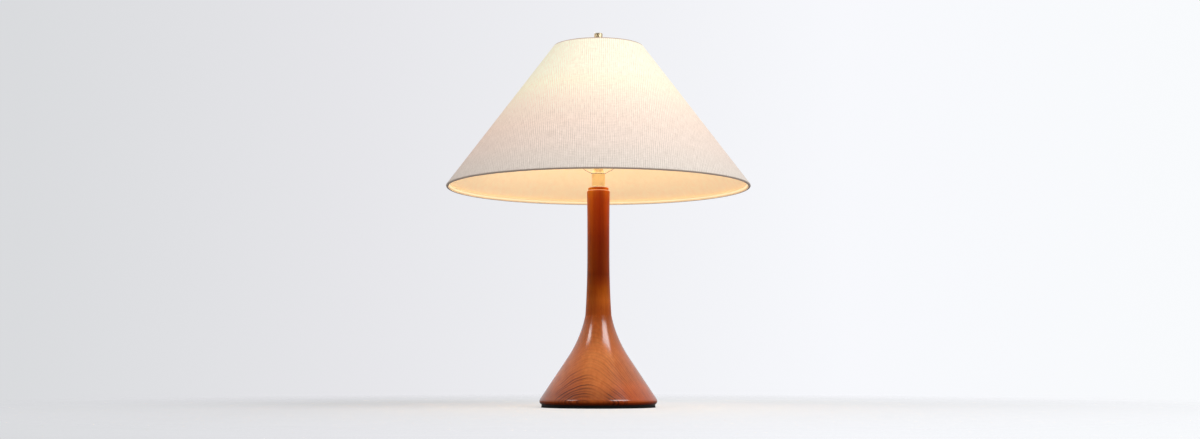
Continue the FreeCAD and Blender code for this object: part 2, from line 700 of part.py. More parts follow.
def rolled_edge(ring, inwards):
    """The fabric's corners round a ring wire, from its outer face to where it is turned in on the liner.

    Angles are counted from the slant. The roll is a run of flats that touch the ring's circle, the
    first one in line with the cone and the last one in line with the flap.
    """
    tip_out = ROLL_INNER_R - GLUE_GAP - LINER_THICKNESS - GLUE_GAP
    flap_angle = math.atan2(tip_out, FLAP_LENGTH) - math.acos(ROLL_INNER_R / math.hypot(FLAP_LENGTH, tip_out))
    step = (2 * math.pi + flap_angle - math.pi / 2) / ROLL_SIDES
    outer = []
    inner = []
    for k in range(ROLL_SIDES):
        angle = math.pi / 2 + (k + 0.5) * step
        for corners, radius in ((outer, ROLL_R), (inner, ROLL_INNER_R)):
            corner_r = radius / math.cos(step / 2)
            corners.append(slant_point(ring, inwards, corner_r * math.cos(angle), corner_r * math.sin(angle)))
    flap_along = FLAP_LENGTH + FABRIC_THICKNESS * math.cos(flap_angle)
    flap_out = tip_out + FABRIC_THICKNESS * math.sin(flap_angle)
    tip = [slant_point(ring, inwards, flap_along, flap_out), slant_point(ring, inwards, FLAP_LENGTH, tip_out)]
    return outer + tip + inner[::-1]


def slant_band(inner_out, outer_out, bottom_margin, top_margin):
    """A conical band between two distances out of the slant, short of both ring wires' centres."""
    corners = [
        slant_point(BOTTOM_RING, 1, bottom_margin, inner_out),
        slant_point(BOTTOM_RING, 1, bottom_margin, outer_out),
        slant_point(TOP_RING, -1, top_margin, outer_out),
        slant_point(TOP_RING, -1, top_margin, inner_out),
    ]
    return turned_outline([(corner.x, corner.z) for corner in corners])


def shade_fabric():
    """The linen cone, rolled over a wire ring at each end and lapped in a seam down the back."""
    corners = rolled_edge(BOTTOM_RING, 1) + rolled_edge(TOP_RING, -1)[::-1]
    cone = turned_outline([(corner.x, corner.z) for corner in corners])
    lap_band = slant_band(ROLL_R - FABRIC_THICKNESS / 2, ROLL_R + SEAM_RELIEF, SEAM_MARGIN, SEAM_MARGIN)
    back_strip = Part.makeBox(
        SEAM_WIDTH, SHADE_BOTTOM_R, SHADE_HEIGHT, V(-SEAM_WIDTH / 2, 0, BOTTOM_RING.z)
    )
    return cone.fuse(lap_band.common(back_strip)).removeSplitter()


def shade_liner():
    """The lining behind the linen, joined at the back as the linen is."""
    outer_out = ROLL_INNER_R - GLUE_GAP
    liner = slant_band(outer_out - LINER_THICKNESS, outer_out, LINER_GAP, LINER_GAP)
    liner.rotate(V(0, 0, 0), AXIS_Z, BACK)
    return liner


def ring_wire(ring):
    corners = []
    for k in range(RING_WIRE_SIDES):
        angle = 2 * math.pi * k / RING_WIRE_SIDES
        corners.append((ring.x + RING_WIRE_R * math.cos(angle), ring.z + RING_WIRE_R * math.sin(angle)))
    return turned_outline(corners)


def shade_top_ring():
    return ring_wire(TOP_RING)


def shade_bottom_ring():
    return ring_wire(BOTTOM_RING)


def spider():
    """The fitter: a washer that sits on the swivel stud, and arms out to the top ring."""
    washer = cylinder(SPIDER_WASHER_R, WASHER_Z, WASHER_TOP_Z)
    arm_start = V(SPIDER_WASHER_R - SPIDER_ARM_LAP, 0, WASHER_TOP_Z - SPIDER_ARM_R)
    arm_end = V(TOP_RING.x - ROLL_R - GLUE_GAP, 0, TOP_RING.z)
    run = arm_end - arm_start
    arm = Part.makeCylinder(SPIDER_ARM_R, run.Length, arm_start, run)
    arms = []
    for k in range(SPIDER_ARM_COUNT):
        turned_arm = arm.copy()
        turned_arm.rotate(V(0, 0, 0), AXIS_Z, BACK + 360 * k / SPIDER_ARM_COUNT)
        arms.append(turned_arm)
    hole_r = STUD_R + SPIDER_HOLE_CLEARANCE
    stud_hole = cylinder(hole_r, WASHER_Z, WASHER_TOP_Z)
    return washer.fuse(arms).cut(stud_hole).removeSplitter()


def finial():
    """The knob that holds the shade down: a flange, a groove and a plain round head."""
    top_z = FINIAL_Z + FINIAL_HEIGHT
    bore_top_z = SPIDER_SEAT_Z + STUD_THREAD_LENGTH + FINIAL_BORE_SPARE
    groove_z = FINIAL_Z + FINIAL_FLANGE_HEIGHT
    head_z = groove_z + FINIAL_GROOVE_HEIGHT
    return turned_outline([
        (0, bore_top_z),
        (STUD_BORE_R, bore_top_z),
        (STUD_BORE_R, FINIAL_Z),
        (FINIAL_FLANGE_R, FINIAL_Z),
        (FINIAL_FLANGE_R, groove_z),
        (FINIAL_GROOVE_R, groove_z),
        (FINIAL_GROOVE_R, head_z),
        (FINIAL_R, head_z),
        (FINIAL_R, top_z - FINIAL_EDGE),
        (FINIAL_R - FINIAL_EDGE, top_z),
        (0, top_z),
    ])


# ---------------------------------------------------------------- lampholder


def socket_cap():
    """The spun cap: a hub on the pipe, a dome, and a skirt that takes the shell's foot."""
    skirt_top_z = DOME_TOP_Z + CAP_SKIRT_HEIGHT
    inner_r = CAP_R - CAP_WALL
    floor_z = PIPE_TOP_Z + CAP_WALL
    outer_dome = arc_leaving(V(CAP_R, 0, DOME_TOP_Z), AXIS_Z * -1, V(CAP_HUB_R, 0, PIPE_TOP_Z))
    inner_dome = arc_leaving(V(inner_r, 0, DOME_TOP_Z), AXIS_Z * -1, V(CAP_HUB_R, 0, floor_z))
    outside = banded([outer_dome], DOME_BANDS)
    inside = banded([inner_dome], DOME_BANDS)
    hub = [(CAP_HUB_R, CAP_Z), (PIPE_WAY_R, CAP_Z), (PIPE_WAY_R, floor_z)]
    skirt = [(inner_r, skirt_top_z), (CAP_R, skirt_top_z)]
    cap = turned_outline(outside + hub + inside[::-1] + skirt)
    screw_hole = rod_along_y(SET_SCREW_R + SET_SCREW_CLEARANCE, 0, CAP_R, CAP_Z + SET_SCREW_HEIGHT)
    return cap.cut(screw_hole)


def cap_set_screw():
    """The screw in the cap's hub that stops the lampholder from turning on the pipe."""
    tip_y = PIPE_R + GLUE_GAP
    return rod_along_y(SET_SCREW_R, tip_y, tip_y + SET_SCREW_LENGTH, CAP_Z + SET_SCREW_HEIGHT)


def switch_hole():
    return rod_along_y(SWITCH_SHAFT_R + SWITCH_HOLE_CLEARANCE, -CAP_R, 0, SWITCH_Z)


def socket_shell():
    """The brass outer shell, with a bead at its mouth and a hole for the switch's shaft."""
    bead_z = SHELL_TOP_Z - SHELL_BEAD_HEIGHT
    bead_r = SHELL_R + SHELL_BEAD_RISE
    shell = turned_outline([
        (SHELL_R - SHELL_WALL, DOME_TOP_Z),
        (SHELL_R, DOME_TOP_Z),
        (SHELL_R, bead_z),
        (bead_r, bead_z + SHELL_BEAD_RISE),
        (bead_r, SHELL_TOP_Z - SHELL_BEAD_RISE),
        (SHELL_R, SHELL_TOP_Z),
        (SHELL_R - SHELL_WALL, SHELL_TOP_Z),
    ])
    return shell.cut(switch_hole())


def socket_insulator():
    """The paper sleeve between the shell and the live parts."""
    sleeve = tube(
        INSULATOR_R, INSULATOR_R - INSULATOR_WALL, DOME_TOP_Z + INSULATOR_INSET, SHELL_TOP_Z - INSULATOR_INSET
    )
    return sleeve.cut(switch_hole())


def terminal_face_x():
    return CORE_R - TERMINAL_HEAD_HEIGHT - PIECE_GAP


def terminal_screw(side, clearance):
    """A binding screw in the core's flat side, or with a clearance the hole for it."""
    z = DOME_TOP_Z + TERMINAL_HEIGHT
    face_x = terminal_face_x()
    shank_start = face_x - TERMINAL_SHANK_LENGTH - clearance
    shank = Part.makeCylinder(
        TERMINAL_SHANK_R + clearance, TERMINAL_SHANK_LENGTH + clearance, V(shank_start, 0, z), AXIS_X
    )
    head = Part.makeCylinder(TERMINAL_R, TERMINAL_HEAD_HEIGHT, V(face_x, 0, z), AXIS_X)
    screw = shank.fuse(head)
    return screw if side > 0 else mirrored_in_x(screw)


def socket_core():
    """The moulded core: flat sides for the terminals, a way up the middle, and the switch's bearing."""
    block = cylinder(CORE_R, DOME_TOP_Z, CORE_TOP_Z)
    flats = centred_box(2 * terminal_face_x(), 2 * CORE_R, DOME_TOP_Z, CORE_TOP_Z)
    lead_way = cylinder(CORE_HOLE_R, DOME_TOP_Z, CORE_TOP_Z)
    bearing = rod_along_y(SWITCH_SHAFT_R + TURN_CLEARANCE, -CORE_R, SWITCH_SHAFT_DEPTH - CORE_R, SWITCH_Z)
    screw_holes = [terminal_screw(side, GLUE_GAP) for side in (1, -1)]
    return block.common(flats).cut([lead_way, bearing] + screw_holes)


def terminal_screws():
    return Part.makeCompound([terminal_screw(side, 0) for side in (1, -1)])


def thread_shell():
    """The inner shell that takes the bulb's screw cap, open in its floor for the centre contact."""
    outer_r = THREAD_SHELL_BORE_R + THREAD_SHELL_WALL
    floor_top_z = CORE_TOP_Z + THREAD_SHELL_WALL
    top_z = CORE_TOP_Z + THREAD_SHELL_HEIGHT
    return turned_outline([
        (THREAD_SHELL_FLOOR_R, CORE_TOP_Z),
        (outer_r, CORE_TOP_Z),
        (outer_r, top_z),
        (THREAD_SHELL_BORE_R, top_z),
        (THREAD_SHELL_BORE_R, floor_top_z),
        (THREAD_SHELL_FLOOR_R, floor_top_z),
    ])


def centre_contact():
    """The spring tongue on the core that the bulb's tip presses on."""
    low_z = CORE_TOP_Z + CONTACT_THICKNESS / 2
    high_z = low_z + CONTACT_RISE
    bend = CONTACT_THICKNESS
    path = rounded_path(
        [
            V(CONTACT_FOOT, 0, low_z),
            V(CONTACT_LOW_BEND, 0, low_z),
            V(CONTACT_HIGH_BEND, 0, high_z),
            V(CONTACT_END, 0, high_z),
        ],
        [bend, bend],
    )
    contact = strip_along(path, CONTACT_WIDTH, CONTACT_THICKNESS)
    contact.rotate(V(0, 0, 0), AXIS_Z, BACK)
    return contact


def switch_shaft():
    """The shaft that turns the switch in the core; its outer end is in the key."""
    inner_y = SWITCH_SHAFT_DEPTH - CORE_R - REST_GAP
    return rod_along_y(SWITCH_SHAFT_R, -SHELL_R - KNOB_STANDOFF - KNOB_HUB_LENGTH, inner_y, SWITCH_Z)


def switch_key():
    """The turn key: a round hub that widens into a ribbed flat grip."""
    hub_y = -SHELL_R - KNOB_STANDOFF
    grip_y = hub_y - KNOB_HUB_LENGTH
    end_y = hub_y - KNOB_LENGTH
    half_width = KNOB_WIDTH / 2
    half_thickness = KNOB_THICKNESS / 2
    upper = [(-half_width, half_thickness - KNOB_EDGE), (KNOB_EDGE - half_width, half_thickness)]
    for k in range(KNOB_RIB_COUNT):
        x = (k - (KNOB_RIB_COUNT - 1) / 2) * KNOB_RIB_PITCH
        upper.append((x - KNOB_RIB_WIDTH / 2, half_thickness))
        upper.append((x, half_thickness + KNOB_RIB_HEIGHT))
        upper.append((x + KNOB_RIB_WIDTH / 2, half_thickness))
    upper += [(half_width - KNOB_EDGE, half_thickness), (half_width, half_thickness - KNOB_EDGE)]
    lower = [(-x, -z) for x, z in upper]
    corners = [V(x, end_y, SWITCH_Z + z) for x, z in upper + lower]
    grip = Part.Face(Part.makePolygon(corners + corners[:1])).extrude(AXIS_Y * (grip_y - end_y))
    hub = rod_along_y(KNOB_HUB_R, grip_y, hub_y, SWITCH_Z)
    shaft_hole = rod_along_y(SWITCH_SHAFT_R + GLUE_GAP, grip_y, hub_y, SWITCH_Z)
    return hub.cut(shaft_hole).fuse(grip)


# ---------------------------------------------------------------- bulb


def bulb_outline(inset):
    """The glass's outline from the cap to the crown: a straight neck, a bend, and the round globe."""
    centre = V(0, 0, BULB_Z + BULB_LENGTH - BULB_R)
    globe_r = BULB_R - inset
    neck_r = BULB_NECK_R - inset
    angle = math.radians(BULB_NECK_ANGLE)
    leave = centre + V(globe_r * math.cos(angle), 0, -globe_r * math.sin(angle))
    down = V(-math.sin(angle), 0, -math.cos(angle))
    corner = leave + down * ((leave.x - neck_r) / math.sin(angle))
    neck = rounded_path([V(neck_r, 0, BULB_CAP_TOP_Z), corner, leave], [BULB_NECK_BEND + inset])
    globe = arc_leaving(leave, down * -1, centre + AXIS_Z * globe_r)
    return neck + [globe]


def bulb_glass():
    """The frosted glass, which stands on the screw cap's rim."""
    outside = banded(bulb_outline(0), BULB_BANDS)
    inside = banded(bulb_outline(BULB_WALL), BULB_BANDS)
    return turned_outline(outside + inside[::-1])


def bulb_screw_cap():
    """The bulb's screw cap, drawn in at its foot round the insulator."""
    inner_r = BULB_CAP_R - BULB_CAP_WALL
    taper_top_z = BULB_CAP_Z + BULB_CAP_R - BULB_INSULATOR_TOP_R
    return turned_outline([
        (BULB_INSULATOR_TOP_R - BULB_CAP_WALL, BULB_CAP_Z),
        (BULB_INSULATOR_TOP_R, BULB_CAP_Z),
        (BULB_CAP_R, taper_top_z),
        (BULB_CAP_R, BULB_CAP_TOP_Z),
        (inner_r, BULB_CAP_TOP_Z),
        (inner_r, taper_top_z + BULB_CAP_WALL),
    ])


def bulb_insulator():
    z_low = BULB_Z + BULB_TIP_HEIGHT
    return Part.makeCone(BULB_TIP_R, BULB_INSULATOR_TOP_R, BULB_INSULATOR_HEIGHT, V(0, 0, z_low), AXIS_Z)


def bulb_tip():
    """The solder contact at the bulb's foot."""
    z_top = BULB_Z + BULB_TIP_HEIGHT
    return turned_outline([
        (0, BULB_Z),
        (BULB_TIP_R - BULB_TIP_EDGE, BULB_Z),
        (BULB_TIP_R, BULB_Z + BULB_TIP_EDGE),
        (BULB_TIP_R, z_top),
        (0, z_top),
    ])


def bulb_mount():
    """The inner glass mount: a flare sealed into the neck, and a rod that holds the filament."""
    rod_top_z = BULB_CAP_TOP_Z + MOUNT_ROD_HEIGHT
    flare_top_z = BULB_CAP_TOP_Z + MOUNT_FLARE_HEIGHT
    flare_r = BULB_NECK_R - BULB_WALL - GLUE_GAP
    return turned_outline([
        (0, BULB_CAP_TOP_Z),
        (flare_r, BULB_CAP_TOP_Z),
        (MOUNT_ROD_R, flare_top_z),
        (MOUNT_ROD_R, rod_top_z),
        (0, rod_top_z),
    ])


def bulb_filament():
    """The filament on its two supports, which spread from the top of the mount's rod."""
    foot_z = BULB_CAP_TOP_Z + MOUNT_ROD_HEIGHT + FILAMENT_R
    top_z = foot_z + FILAMENT_RISE
    filament = Part.makeCylinder(FILAMENT_R, 2 * FILAMENT_HALF_SPAN, V(-FILAMENT_HALF_SPAN, 0, top_z), AXIS_X)
    supports = []
    for side in (-1, 1):
        foot = V(side * MOUNT_ROD_R / 2, 0, foot_z)
        run = V(side * (FILAMENT_HALF_SPAN - FILAMENT_R), 0, top_z) - foot
        supports.append(Part.makeCylinder(FILAMENT_R, run.Length, foot, run))
    return filament.fuse(supports)


# ---------------------------------------------------------------- all the pieces

PIECES = [
    felt_pad, closing_plate, plate_screws, wood_foot, wood_column,
    foot_weight, weight_washer, lock_washer, pipe_nut, threaded_pipe, inlet_bushing,
    neck_ring, neck_tube, seat_washer, harp_saddle, saddle_nut,
    harp_wire, harp_sleeve_left, harp_sleeve_right, swivel_stud,
    shade_fabric, shade_liner, shade_top_ring, shade_bottom_ring, spider, finial,
    socket_cap, cap_set_screw, socket_shell, socket_insulator, socket_core,
    terminal_screws, thread_shell, centre_contact, switch_shaft, switch_key,
    bulb_glass, bulb_screw_cap, bulb_insulator, bulb_tip, bulb_mount, bulb_filament,
]

os.makedirs("parts", exist_ok=True)
for piece in PIECES:
    piece().exportStep(f"parts/{piece.__name__}.step")
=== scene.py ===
"""Looks of the column table lamp: woods, linen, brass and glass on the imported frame."""

import math

import bpy
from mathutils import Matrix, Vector, noise


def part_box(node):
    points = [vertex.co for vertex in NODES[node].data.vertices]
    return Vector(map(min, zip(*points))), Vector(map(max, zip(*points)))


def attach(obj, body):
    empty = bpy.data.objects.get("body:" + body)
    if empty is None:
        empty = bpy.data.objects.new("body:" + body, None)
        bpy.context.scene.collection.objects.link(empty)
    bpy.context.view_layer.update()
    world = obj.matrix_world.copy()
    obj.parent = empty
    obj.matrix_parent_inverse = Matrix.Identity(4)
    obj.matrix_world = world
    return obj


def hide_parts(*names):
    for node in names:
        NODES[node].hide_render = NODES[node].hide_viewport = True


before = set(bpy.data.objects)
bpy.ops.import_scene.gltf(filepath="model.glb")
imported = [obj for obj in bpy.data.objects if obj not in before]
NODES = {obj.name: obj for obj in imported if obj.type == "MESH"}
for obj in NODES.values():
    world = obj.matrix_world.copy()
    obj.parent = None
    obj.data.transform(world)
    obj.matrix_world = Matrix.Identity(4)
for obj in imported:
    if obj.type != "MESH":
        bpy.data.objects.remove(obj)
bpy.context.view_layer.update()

bl_info = {
    "name": "Column table lamp",
    "version": (1, 0, 0),
    "blender": (4, 5, 0),
    "location": "3D View > Sidebar > Lamp",
    "description": "Dresses a column table lamp: turned teak, linen shade, brass and a lit bulb",
    "category": "Object",
}

# ---------------------------------------------------------------- sizes and colours


class LampSizes(bpy.types.PropertyGroup):
    """Sizes of the pieces that the scene shapes, in metres."""

    ring_radius_bottom: bpy.props.FloatProperty(
        name="Bottom ring",
        description="Radius of the bottom ring wire's centre line",
        default=0.2518,
        unit="LENGTH",
    )
    ring_height_bottom: bpy.props.FloatProperty(
        name="Bottom ring height",
        description="Height of the bottom ring wire",
        default=0.36605,
        unit="LENGTH",
    )
    ring_radius_top: bpy.props.FloatProperty(
        name="Top ring",
        description="Radius of the top ring wire's centre line",
        default=0.0743,
        unit="LENGTH",
    )
    ring_height_top: bpy.props.FloatProperty(
        name="Top ring height",
        description="Height of the top ring wire",
        default=0.60315,
        unit="LENGTH",
    )
    roll_radius: bpy.props.FloatProperty(
        name="Rolled edge",
        description="Radius of the linen's outer face round a ring wire",
        default=0.0022,
        unit="LENGTH",
    )
    cloth_thickness: bpy.props.FloatProperty(
        name="Linen thickness",
        description="Thickness of the backed linen",
        default=0.0006,
        unit="LENGTH",
    )
    flap: bpy.props.FloatProperty(
        name="Turned-in flap",
        description="Linen turned in behind each ring",
        default=0.0068,
        unit="LENGTH",
    )
    seam_width: bpy.props.FloatProperty(
        name="Back seam",
        description="Width of the linen's overlap down the back",
        default=0.011,
        unit="LENGTH",
    )
    thread_pitch: bpy.props.FloatProperty(
        name="Thread pitch",
        description="Distance between the linen's threads",
        default=0.00085,
        unit="LENGTH",
    )
    bulb_height: bpy.props.FloatProperty(
        name="Bulb height",
        description="Height of the glowing globe's middle",
        default=0.50425,
        unit="LENGTH",
    )
    bulb_radius: bpy.props.FloatProperty(
        name="Bulb radius",
        description="Radius of the bulb's globe",
        default=0.030,
        unit="LENGTH",
    )
    bulb_neck: bpy.props.FloatProperty(
        name="Bulb neck",
        description="Radius of the bulb's glass neck",
        default=0.0134,
        unit="LENGTH",
    )
    bulb_wall: bpy.props.FloatProperty(
        name="Bulb glass",
        description="Thickness of the bulb's glass",
        default=0.0008,
        unit="LENGTH",
    )


class LampColours(bpy.types.PropertyGroup):
    """Colours of the wood, the linen, the brass and the light."""

    teak_light: bpy.props.FloatVectorProperty(
        name="Light teak",
        description="Early wood of the teak",
        default=(0.61, 0.174, 0.037),
        size=3,
        subtype="COLOR",
    )
    teak_dark: bpy.props.FloatVectorProperty(
        name="Dark teak",
        description="Late wood and pores of the teak",
        default=(0.085, 0.018, 0.006),
        size=3,
        subtype="COLOR",
    )
    linen: bpy.props.FloatVectorProperty(
        name="Linen",
        description="The linen unlit",
        default=(0.690, 0.622, 0.548),
        size=3,
        subtype="COLOR",
    )
    glow: bpy.props.FloatVectorProperty(
        name="Lamp light",
        description="Colour of the bulb's light",
        default=(1.0, 0.70, 0.38),
        size=3,
        subtype="COLOR",
    )
    brass: bpy.props.FloatVectorProperty(
        name="Brass",
        description="Polished brass",
        default=(0.96, 0.78, 0.48),
        size=3,
        subtype="COLOR",
    )


def sizes():
    return bpy.context.scene.lamp_sizes


def colours():
    return bpy.context.scene.lamp_colours


# ---------------------------------------------------------------- material nodes


class Nodes:
    """Short calls for the nodes of a material or a world."""

    def __init__(self, tree):
        self.tree = tree
        self.place = None

    def node(self, kind, **settings):
        made = self.tree.nodes.new(kind)
        for name, value in settings.items():
            setattr(made, name, value)
        return made

    def feed(self, socket, value):
        """Links a socket to another node's output, or sets its own value."""
        if isinstance(value, bpy.types.NodeSocket):
            self.tree.links.new(value, socket)
        elif isinstance(value, (tuple, list)) and len(value) == 3 and socket.type == "RGBA":
            socket.default_value = (*value, 1.0)
        else:
            socket.default_value = value

    def background(self, colour, strength):
        made = self.node("ShaderNodeBackground")
        self.feed(made.inputs["Color"], colour)
        made.inputs["Strength"].default_value = strength
        return made.outputs[0]

    def math(self, operation, *values, clamp=False):
        made = self.node("ShaderNodeMath", operation=operation, use_clamp=clamp)
        for socket, value in zip(made.inputs, values):
            self.feed(socket, value)
        return made.outputs[0]

    def plus(self, first, *others):
        """The sum of the values."""
        for other in others:
            first = self.math("ADD", first, other)
        return first

    def times(self, first, *others):
        """The product of the values."""
        for other in others:
            first = self.math("MULTIPLY", first, other)
        return first

    def vector(self, x, y, z):
        made = self.node("ShaderNodeCombineXYZ")
        for socket, value in zip(made.inputs, (x, y, z)):
            self.feed(socket, value)
        return made.outputs[0]

    def axes(self, vector=None):
        made = self.node("ShaderNodeSeparateXYZ")
        self.feed(made.inputs[0], vector or self.place)
        return made.outputs

    def stretched(self, x, y, z, vector=None, offset=(0, 0, 0)):
        """Coordinates scaled on each axis, for grain that runs one way."""
        made = self.node("ShaderNodeMapping")
        self.feed(made.inputs["Vector"], vector or self.place)
        made.inputs["Scale"].default_value = (x, y, z)
        made.inputs["Location"].default_value = offset
        return made.outputs[0]

    def noise(self, vector=None, scale=1.0, detail=2.0, roughness=0.5):
        made = self.node("ShaderNodeTexNoise")
        self.feed(made.inputs["Vector"], vector or self.place)
        made.inputs["Scale"].default_value = scale
        made.inputs["Detail"].default_value = detail
        made.inputs["Roughness"].default_value = roughness
        return made.outputs[0]

    def nearness(self, point, reach):
        """1 at a point of the object, and 0 at that distance from it."""
        made = self.node("ShaderNodeVectorMath", operation="DISTANCE")
        self.feed(made.inputs[0], self.place)
        made.inputs[1].default_value = point
        return self.spread(made.outputs["Value"], reach, reach * 0.3, smooth=True)

    def spread(self, value, low_in, high_in, low_out=0.0, high_out=1.0, smooth=False):
        """Turns the range low_in to high_in into low_out to high_out, and holds it there."""
        made = self.node("ShaderNodeMapRange", interpolation_type="SMOOTHSTEP" if smooth else "LINEAR")
        for socket, given in zip(made.inputs, (value, low_in, high_in, low_out, high_out)):
            self.feed(socket, given)
        return made.outputs[0]

    def mix(self, share, first, second, blend="MIX"):
        """Two colours mixed by a share. The node's colours go in at 6 and 7, and come out at 2."""
        made = self.node("ShaderNodeMix", data_type="RGBA", blend_type=blend)
        self.feed(made.inputs[0], share)
        self.feed(made.inputs[6], first)
        self.feed(made.inputs[7], second)
        return made.outputs[2]

    def ramp(self, value, *stops):
        """A colour from stops of (position, colour)."""
        made = self.node("ShaderNodeValToRGB")
        self.feed(made.inputs[0], value)
        elements = made.color_ramp.elements
        while len(elements) < len(stops):
            elements.new(0.5)
        for element, (position, colour) in zip(elements, stops):
            element.position = position
            element.color = (*colour, 1.0)
        return made.outputs[0]


class Paint(Nodes):
    """One Principled material, fed in the object's own coordinates."""

    def __init__(self, name, **principled):
        self.material = bpy.data.materials.new(name)
        self.material.use_nodes = True
        super().__init__(self.material.node_tree)
        self.shader = self.tree.nodes["Principled BSDF"]
        self.place = self.node("ShaderNodeTexCoord").outputs["Object"]
        for socket, value in principled.items():
            # An underscore in the argument's name stands for the space in the socket's.
            self.shader.inputs[socket.replace("_", " ")].default_value = value

    def out(self, socket, value):
        self.feed(self.shader.inputs[socket], value)

    def bump(self, height, distance, strength=1.0):
        made = self.node("ShaderNodeBump")
        made.inputs["Strength"].default_value = strength
        made.inputs["Distance"].default_value = distance
        self.feed(made.inputs["Height"], height)
        self.out("Normal", made.outputs[0])


def wear(material, *nodes):
    """Puts one material in every slot of the named CAD nodes."""
    for name in nodes:
        data = NODES[name].data
        data.materials.clear()
        data.materials.append(material)


# ---------------------------------------------------------------- teak


# The foot's tone and painted shade, as shares of the light teak, by height in metres: painted shade
# darkens the rounded bottom edge, which faces down.
FOOT_TONE_AND_SHADING = (
    (0.005, (0.16, 0.08, 0.05)),
    (0.008, (0.24, 0.13, 0.07)),
    (0.011, (0.60, 0.43, 0.19)),
    (0.014, (0.64, 0.53, 0.40)),
    (0.022, (0.66, 0.55, 0.42)),
    (0.035, (0.93, 0.85, 0.75)),
    (0.060, (0.97, 0.95, 0.88)),
    (0.098, (0.97, 0.96, 0.92)),
    (0.111, (0.86, 0.88, 0.92)),
    (0.126, (0.82, 0.80, 0.82)),
    (0.142, (0.70, 0.60, 0.50)),
    (0.152, (0.72, 0.55, 0.34)),
)
# The column's tone and painted light by height, from the seam at 0.152 up to its top, which is painted
# brighter as if lit by the bulb above.
COLUMN_TONE_AND_SHADING = (
    (0.152, (0.72, 0.55, 0.34)),
    (0.161, (0.75, 0.56, 0.27)),
    (0.177, (0.92, 0.78, 0.30)),
    (0.194, (0.70, 0.51, 0.05)),
    (0.204, (0.53, 0.30, 0.02)),
    (0.219, (0.34, 0.143, 0.00)),
    (0.243, (0.39, 0.165, 0.00)),
    (0.282, (0.46, 0.165, 0.00)),
    (0.313, (0.61, 0.24, 0.00)),
    (0.344, (0.68, 0.28, 0.00)),
    (0.365, (0.86, 0.50, 0.07)),
)
# Painted light by side, from the column's left to its right: up the shaft both edges are painted
# lighter, as sheen and side light, round the grain's darker heart; round its foot the left is painted
# in shade and the right lighter, where the right window falls.
COLUMN_SIDE_LIGHT_AND_FIGURE = (
    (0.00, (1.46, 2.67, 1.3)),
    (0.19, (1.44, 2.54, 1.2)),
    (0.31, (1.17, 1.52, 1.1)),
    (0.44, (1.10, 1.13, 1.0)),
    (0.56, (0.98, 0.87, 0.8)),
    (0.69, (1.09, 1.19, 0.9)),
    (0.81, (1.50, 1.87, 1.0)),
)
NECK_SIDE_LIGHT = (
    (0.00, (0.86, 0.92, 1.00)),
    (0.20, (0.66, 0.62, 0.50)),
    (0.38, (0.70, 0.62, 0.55)),
    (0.52, (0.93, 0.92, 0.95)),
    (0.75, (1.04, 1.08, 1.20)),
    (1.00, (1.12, 1.22, 1.40)),
)
# The painted side light runs this far either way from the column's axis.
HALF_COLUMN = 0.02
# Places where the growth lines stand out, and how far round each.
FIGURED_SPOTS = (
    ((-0.038, -0.073, 0.030), 0.050),
    ((0.030, -0.084, 0.014), 0.032),
    ((0.050, 0.060, 0.040), 0.050),
)
# How fast x, y, z and the square of x run through the growth layers.
FOOT_LAYERS = (0.28, 1.0, 0.12, 1.5)
COLUMN_LAYERS = (1.0, 0.35, 0.012, 0.0)
# Growth lines in a metre of depth.
COARSE_LINES = 250.0
FINE_LINES = 640.0
# The painted highlight on the chamfer under the column's lip.
LIP_LOW = 0.3592
LIP_HIGH = 0.3608
LIP_EDGE = 0.0006


def growth_depth(paint, layers):
    """How deep each point lies in the wood's layers, which sway and crowd as they grew."""
    x, y, z = paint.axes()
    along, across, up, turned = layers
    depth = paint.plus(
        paint.times(x, along),
        paint.times(y, across),
        paint.times(z, up),
        paint.times(x, x, turned),
        paint.times(paint.noise(scale=9.0, detail=3.0), 0.02),
        paint.times(paint.noise(scale=40.0, detail=3.0), 0.0022),
    )
    year = paint.noise(paint.vector(paint.times(depth, 130.0), 0.0, 0.0), detail=1.0)
    return paint.plus(depth, paint.times(year, 0.006))


def figured_wood(paint):
    """1 in the middle of the figured spots, and 0 away from them."""
    figured = 0.0
    for point, reach in FIGURED_SPOTS:
        figured = paint.math("MAXIMUM", figured, paint.nearness(point, reach))
    return figured


def growth_lines(paint, layers, figured):
    """Coarse and fine lines of late wood, in patches and strong in the figured spots."""
    depth = growth_depth(paint, layers)
    coarse = paint.math("FRACT", paint.times(depth, COARSE_LINES))
    coarse = paint.spread(coarse, 0.35, 0.95, smooth=True)
    fine = paint.math("FRACT", paint.times(depth, FINE_LINES))
    fine = paint.spread(fine, 0.3, 1.0, smooth=True)
    rich = paint.noise(paint.vector(paint.times(depth, 190.0), 4.0, 0.0), detail=1.0)
    rich = paint.spread(rich, 0.35, 0.6, 0.25, 1.0)
    patches = paint.noise(paint.stretched(13.0, 13.0, 8.0), detail=1.5)
    patches = paint.spread(patches, 0.42, 0.66, 0.22, 0.50, smooth=True)
    lines = paint.plus(paint.times(coarse, rich), paint.times(fine, 0.3))
    return paint.times(lines, paint.math("MAXIMUM", patches, figured))


